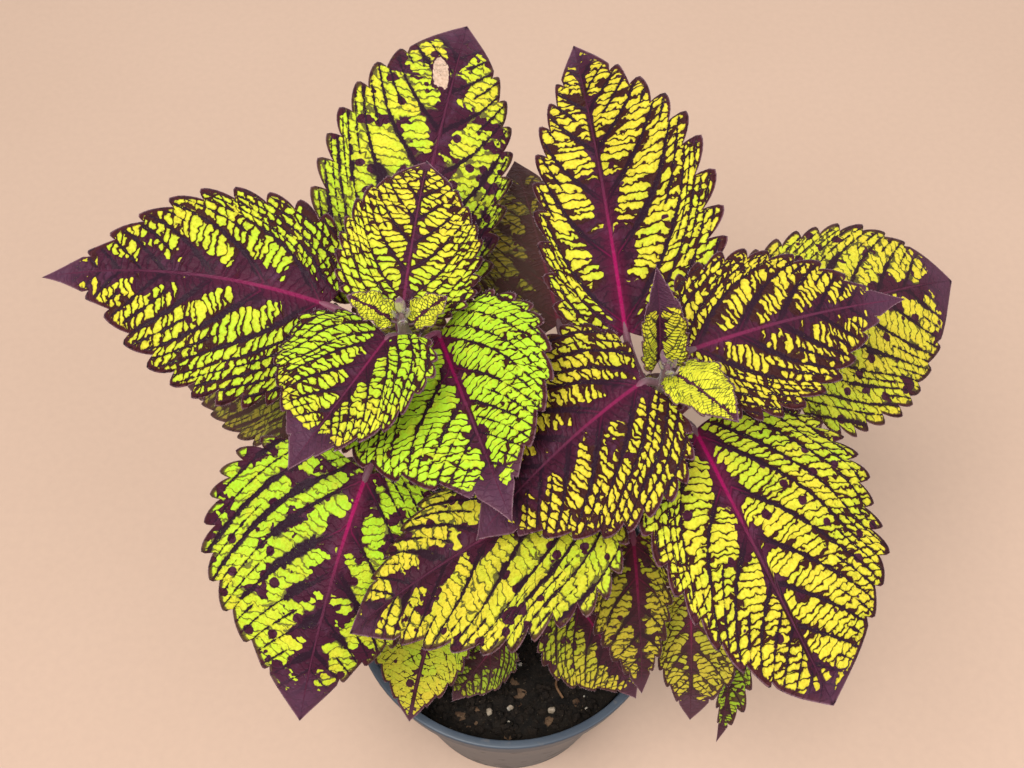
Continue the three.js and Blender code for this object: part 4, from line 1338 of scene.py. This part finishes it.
LUMP_FACES = [(0, 11, 5), (0, 5, 1), (0, 1, 7), (0, 7, 10), (0, 10, 11), (1, 5, 9), (5, 11, 4), (11, 10, 2),
              (10, 7, 6), (7, 1, 8), (3, 9, 4), (3, 4, 2), (3, 2, 6), (3, 6, 8), (3, 8, 9), (4, 9, 5),
              (2, 4, 11), (6, 2, 10), (8, 6, 7), (9, 8, 1)]

# What is strewn over the soil: its material, how many, their sizes, their height for their width, and a seed.
STREWN = {
    "soil_crumbs": ("soil_crumb", 1500, (0.5, 1.6), 0.8, 21),
    "perlite": ("perlite_grain", 40, (0.4, 1.1), 0.9, 22),
    "bark_chips": ("bark_chip", 90, (1.0, 2.6), 0.3, 23),
}
STREWN_RADIUS = 52.5
# A dry twig and three coarse lumps near the pot's front edge: places, and the lumps' sizes.
TWIG = ((19.2, -26.8), (17.6, -33.4), (20.1, -38.4))
TWIG_RADIUS = 0.45
TWIG_HEIGHT = 1.0
COARSE_LUMPS = ((0.3, -41.4, 2.0), (-7.6, -43.3, 2.4), (15.9, -42.6, 2.5))


def above_soil(x, y, rise):
    return soil_height(math.hypot(x, y), math.atan2(y, x)) + rise


def strew(name, material, count, sizes, squash, seed):
    """Lumps strewn over the soil, pressed a little into it."""
    rng = np.random.default_rng(seed)
    form = Form()
    for _ in range(count):
        size = rng.uniform(*sizes)
        radius = STREWN_RADIUS * math.sqrt(rng.uniform(0.006, 1))
        turn = rng.uniform(0, 2 * math.pi)
        centre = around(radius, turn, soil_height(radius, turn) + size * 0.25 * squash)
        form.add(centre + lump(rng, size, squash), LUMP_FACES)
    piece = form.build(name, [soil_material(material)])
    piece.data.polygons.foreach_set("use_smooth", [False] * len(piece.data.polygons))


def make_twig():
    fraction = np.linspace(0, 1, 16)
    x, y = (read_curve(values, fraction) for values in np.transpose(TWIG))
    path = np.column_stack([x, y, [above_soil(*place, TWIG_HEIGHT) for place in zip(x, y)]])
    form = Form()
    form.add_tube(path, TWIG_RADIUS, circle(8))
    form.build("twig", [soil_material("dry_twig")])


def make_coarse_lumps():
    rng = np.random.default_rng(31)
    form = Form()
    for x, y, size in COARSE_LUMPS:
        form.add([x, y, above_soil(x, y, size * 0.3)] + lump(rng, size * 0.5, 0.8), LUMP_FACES)
    form.build("coarse_lumps", [soil_material("coarse_lump")])


# ---- Everything together ----


def make_plant():
    stalk_skin = stalk_material()
    down = Form()
    rng = np.random.default_rng(11)
    for number, (name, leaf) in enumerate(LEAVES.items()):
        margins, centres, radii = make_leaf(name, leaf, number, stalk_skin)
        for line in margins:
            down_on_margin(down, line, rng)
        down_on_tube(down, centres, radii, STALK_HAIRS, rng)
    for shoot, (_, _, top) in SHOOT_TIPS.items():
        heights = np.linspace(STEM_FORK + 4, top - 6, 90)
        half_width = np.interp(heights, (STEM_FORK, top), (SHOOT_HALF_WIDTH, TIP_HALF_WIDTH))
        down_on_tube(down, shoot_points(shoot, heights), half_width, SHOOT_HAIRS, rng)
        for centres, radii, _ in bud_leaflets(shoot):
            down_on_tube(down, centres, radii * 0.6, BUD_HAIRS, rng)
    down.build("leaf_down", [down_material()])
    make_stem()
    make_buds()


# The floor, camera and lamps are placed in metres.
FLOOR_RADIUS = 14
FLOOR_SIDES = 96
CAMERA_PLACE = (0.001, -0.177, 0.532)
CAMERA_TILT = 32
CAMERA_LENS = 42.1875
CAMERA_SENSOR = 36
# Place, size, power in watts and tint of each lamp. They all face the same point.
LAMPS = {
    "key": ((-0.4, -0.5, 1.5), 0.9, 26, (1.0, 0.98, 0.95)),
    "fill": ((0.9, -0.5, 1.1), 1.2, 8, (0.97, 0.98, 1.0)),
    "back": ((0.2, 1.1, 0.9), 1.0, 5, (1.0, 0.99, 0.97)),
}
LAMPS_FACE = (0.0, 0.0, 0.2)
SKY_TINT = (0.95, 0.97, 1.0, 1.0)
SKY_STRENGTH = 0.42


def make_room():
    mesh = bpy.data.meshes.new("floor")
    edge = around(FLOOR_RADIUS, full_turn(FLOOR_SIDES), 0)
    mesh.from_pydata(edge.tolist(), [], [tuple(range(FLOOR_SIDES))])
    mesh.materials.append(floor_material())
    floor = put("floor", mesh)


def add_lamp(name, place, size, power, tint):
    light = bpy.data.lights.new(name, "AREA")
    light.shape, light.size, light.energy, light.color = "DISK", size, power, tint
    lamp = put(name, light)
    lamp.location = place
    x, y, z = np.subtract(place, LAMPS_FACE)
    lamp.rotation_euler = (math.atan2(math.hypot(x, y), z), 0, math.atan2(x, -y))


def make_camera_and_lights():
    camera = bpy.data.cameras.new("camera")
    camera.lens, camera.sensor_width = CAMERA_LENS, CAMERA_SENSOR
    view = put("camera", camera)
    view.location = CAMERA_PLACE
    view.rotation_euler = (math.radians(CAMERA_TILT), 0, 0)
    bpy.context.scene.camera = view
    for name, lamp in LAMPS.items():
        add_lamp(name, *lamp)
    world = bpy.data.worlds.new("soft_light")
    world.use_nodes = True
    sky = world.node_tree.nodes["Background"].inputs
    sky["Color"].default_value = SKY_TINT
    sky["Strength"].default_value = SKY_STRENGTH
    bpy.context.scene.world = world
    bpy.context.scene.view_settings.view_transform = "Standard"


make_camera_and_lights()
make_room()
make_plant()
make_pot()
make_soil()
for name, row in STREWN.items():
    strew(name, *row)
make_twig()
make_coarse_lumps()
